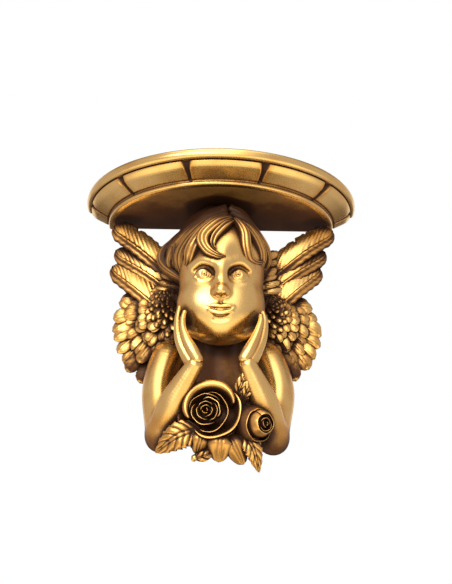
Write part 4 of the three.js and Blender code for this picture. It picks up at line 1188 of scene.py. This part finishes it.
def leaf(root, bend, tip, wide, face_way, veins=5, teeth=6, fold=0.5, droop=0.35, bluntness=0.75, belly=0.8,
         rib_high=0.9, wash=0.06, puff=1.1):
    """A thick leaf blade with a midrib, side veins, pads that swell between them and a toothed edge."""
    path, side, out, t, s = blade(points([root, bend, tip]), LEAF_ROWS, LEAF_COLUMNS, face_way)
    shape = np.sin(np.pi * t**belly) ** bluntness * 0.98 + 0.02
    saw = (t * teeth - 0.3 * np.abs(s)) % 1
    edge = 1 - 0.16 * saw * ease(np.abs(s), 0.45, 1.0)
    across = s * wide * UNIT * shape * edge
    vein = np.abs(np.sin(np.pi * veins * (t - 0.24 * np.abs(s))))
    crease = 1 - ease(vein, 0.0, 0.4)
    rib = np.exp(-((np.abs(s) / 0.07) ** 2))
    beside = np.exp(-(((np.abs(s) - 0.13) / 0.06) ** 2))
    pad = (ease(vein, 0.0, 0.8) * puff * MM - beside * MIDRIB_GROOVE) * shape
    folded = wide * UNIT * (fold * np.abs(s) * 0.4 - droop * s**2 * 0.9) * shape
    rise = folded + pad * (1 - rib) + rib * rib_high * MM * shape
    top = path[:, None] + side[:, None] * across[..., None] + out[:, None] * rise[..., None]
    under = top - out[:, None] * LEAF_THICKNESS * shape[..., None]
    in_veins = 0.7 * crease * (1 - rib) if veins else 0
    on_rim = 0 if veins else 0.6 * ease(np.abs(s), 0.85, 1.0)
    shade = wash + in_veins + 0.6 * rib_high * beside + 0.35 * ease(-t, -0.2, 0) + on_rim
    return closed_sheet(top, under, shade)


SMALL_LEAF = {"teeth": 5, "veins": 4, "fold": 0.7}
LOBE = {  # a rounded, curled leaf
    "veins": 0, "teeth": 0, "fold": 0.0, "droop": 0.42, "bluntness": 0.42, "belly": 1.25, "rib_high": 0.1,
    "puff": 0.0, "wash": 0.42,
}
LEAVES = [  # root, bend, tip, half-width, the way it faces, and its kind
    ((6.0, 37.5, -76.8), (8.4, 41.2, -71.6), (10.4, 42.4, -66.6), 2.1, (0.1, -1, 0.1), SMALL_LEAF),
    ((8.6, 38.4, -77.2), (11.0, 41.2, -72.6), (12.4, 42.6, -67.4), 2.0, (0.2, -1, 0.1), SMALL_LEAF),
    ((-5.0, 38.2, -86.6), (-12.6, 39.6, -89.6), (-20.0, 34.4, -94.2), 5.0, (-0.1, -1, -0.1),
     {"teeth": 8, "veins": 6, "wash": 0.36}),
    ((-3.4, 38.0, -86.0), (-4.9, 40.6, -90.6), (-6.2, 37.0, -95.2), 3.5, (0, -1, -0.2), LOBE),
    ((2.2, 38.0, -86.0), (1.4, 41.4, -91.4), (1.0, 37.0, -97.6), 4.8, (0, -1, -0.2), LOBE),
    ((3.0, 37.4, -86.6), (5.9, 39.8, -92.0), (9.2, 36.0, -98.0), 4.1, (0, -1, -0.2), LOBE),
    ((7.0, 37.4, -85.8), (12.0, 38.8, -92.4), (14.5, 34.2, -100.2), 3.5, (0.2, -1, -0.1),
     {"teeth": 9, "veins": 6, "wash": 0.32}),
    ((6.6, 34.0, -77.6), (11.0, 36.4, -79.4), (16.6, 35.4, -81.6), 3.4, (0.1, -1, 0.2), {}),
]
leaf_forms = [leaf(root, bend, tip, wide, way, **rest) for root, bend, tip, wide, way, rest in LEAVES]
stem = points([(-6.2, 36.6, -95.2), (-6.9, 37.0, -96.2), (-7.4, 36.8, -97.2)])
stem_half = np.array([0.7, 1.1, 0.7]) * UNIT
leaf_forms.append(swept(stem, stem_half, stem_half, (0, -1, 0), wash=0.1))
by_stem = leaf((-7.0, 37.2, -96.4), (-3.2, 38.2, -95.6), (1.0, 36.8, -92.4), 1.9, (0, -1, -0.3), 3, 0, wash=0.4)
leaf_forms.append(by_stem)
leaf_bed = points([(-8, 32.5, -88.5), (1, 32.5, -89.5), (11, 32.5, -89.5)])
bed_half, bed_deep = np.array([3.5, 4.4, 3.5]) * UNIT, np.array([4, 4.6, 4]) * UNIT
leaf_forms.append(swept(leaf_bed, bed_half, bed_deep, (0, -1, 0), wash=0.9))
leaves = gather("leaves", leaf_forms)
cast(leaves, gold_paint)
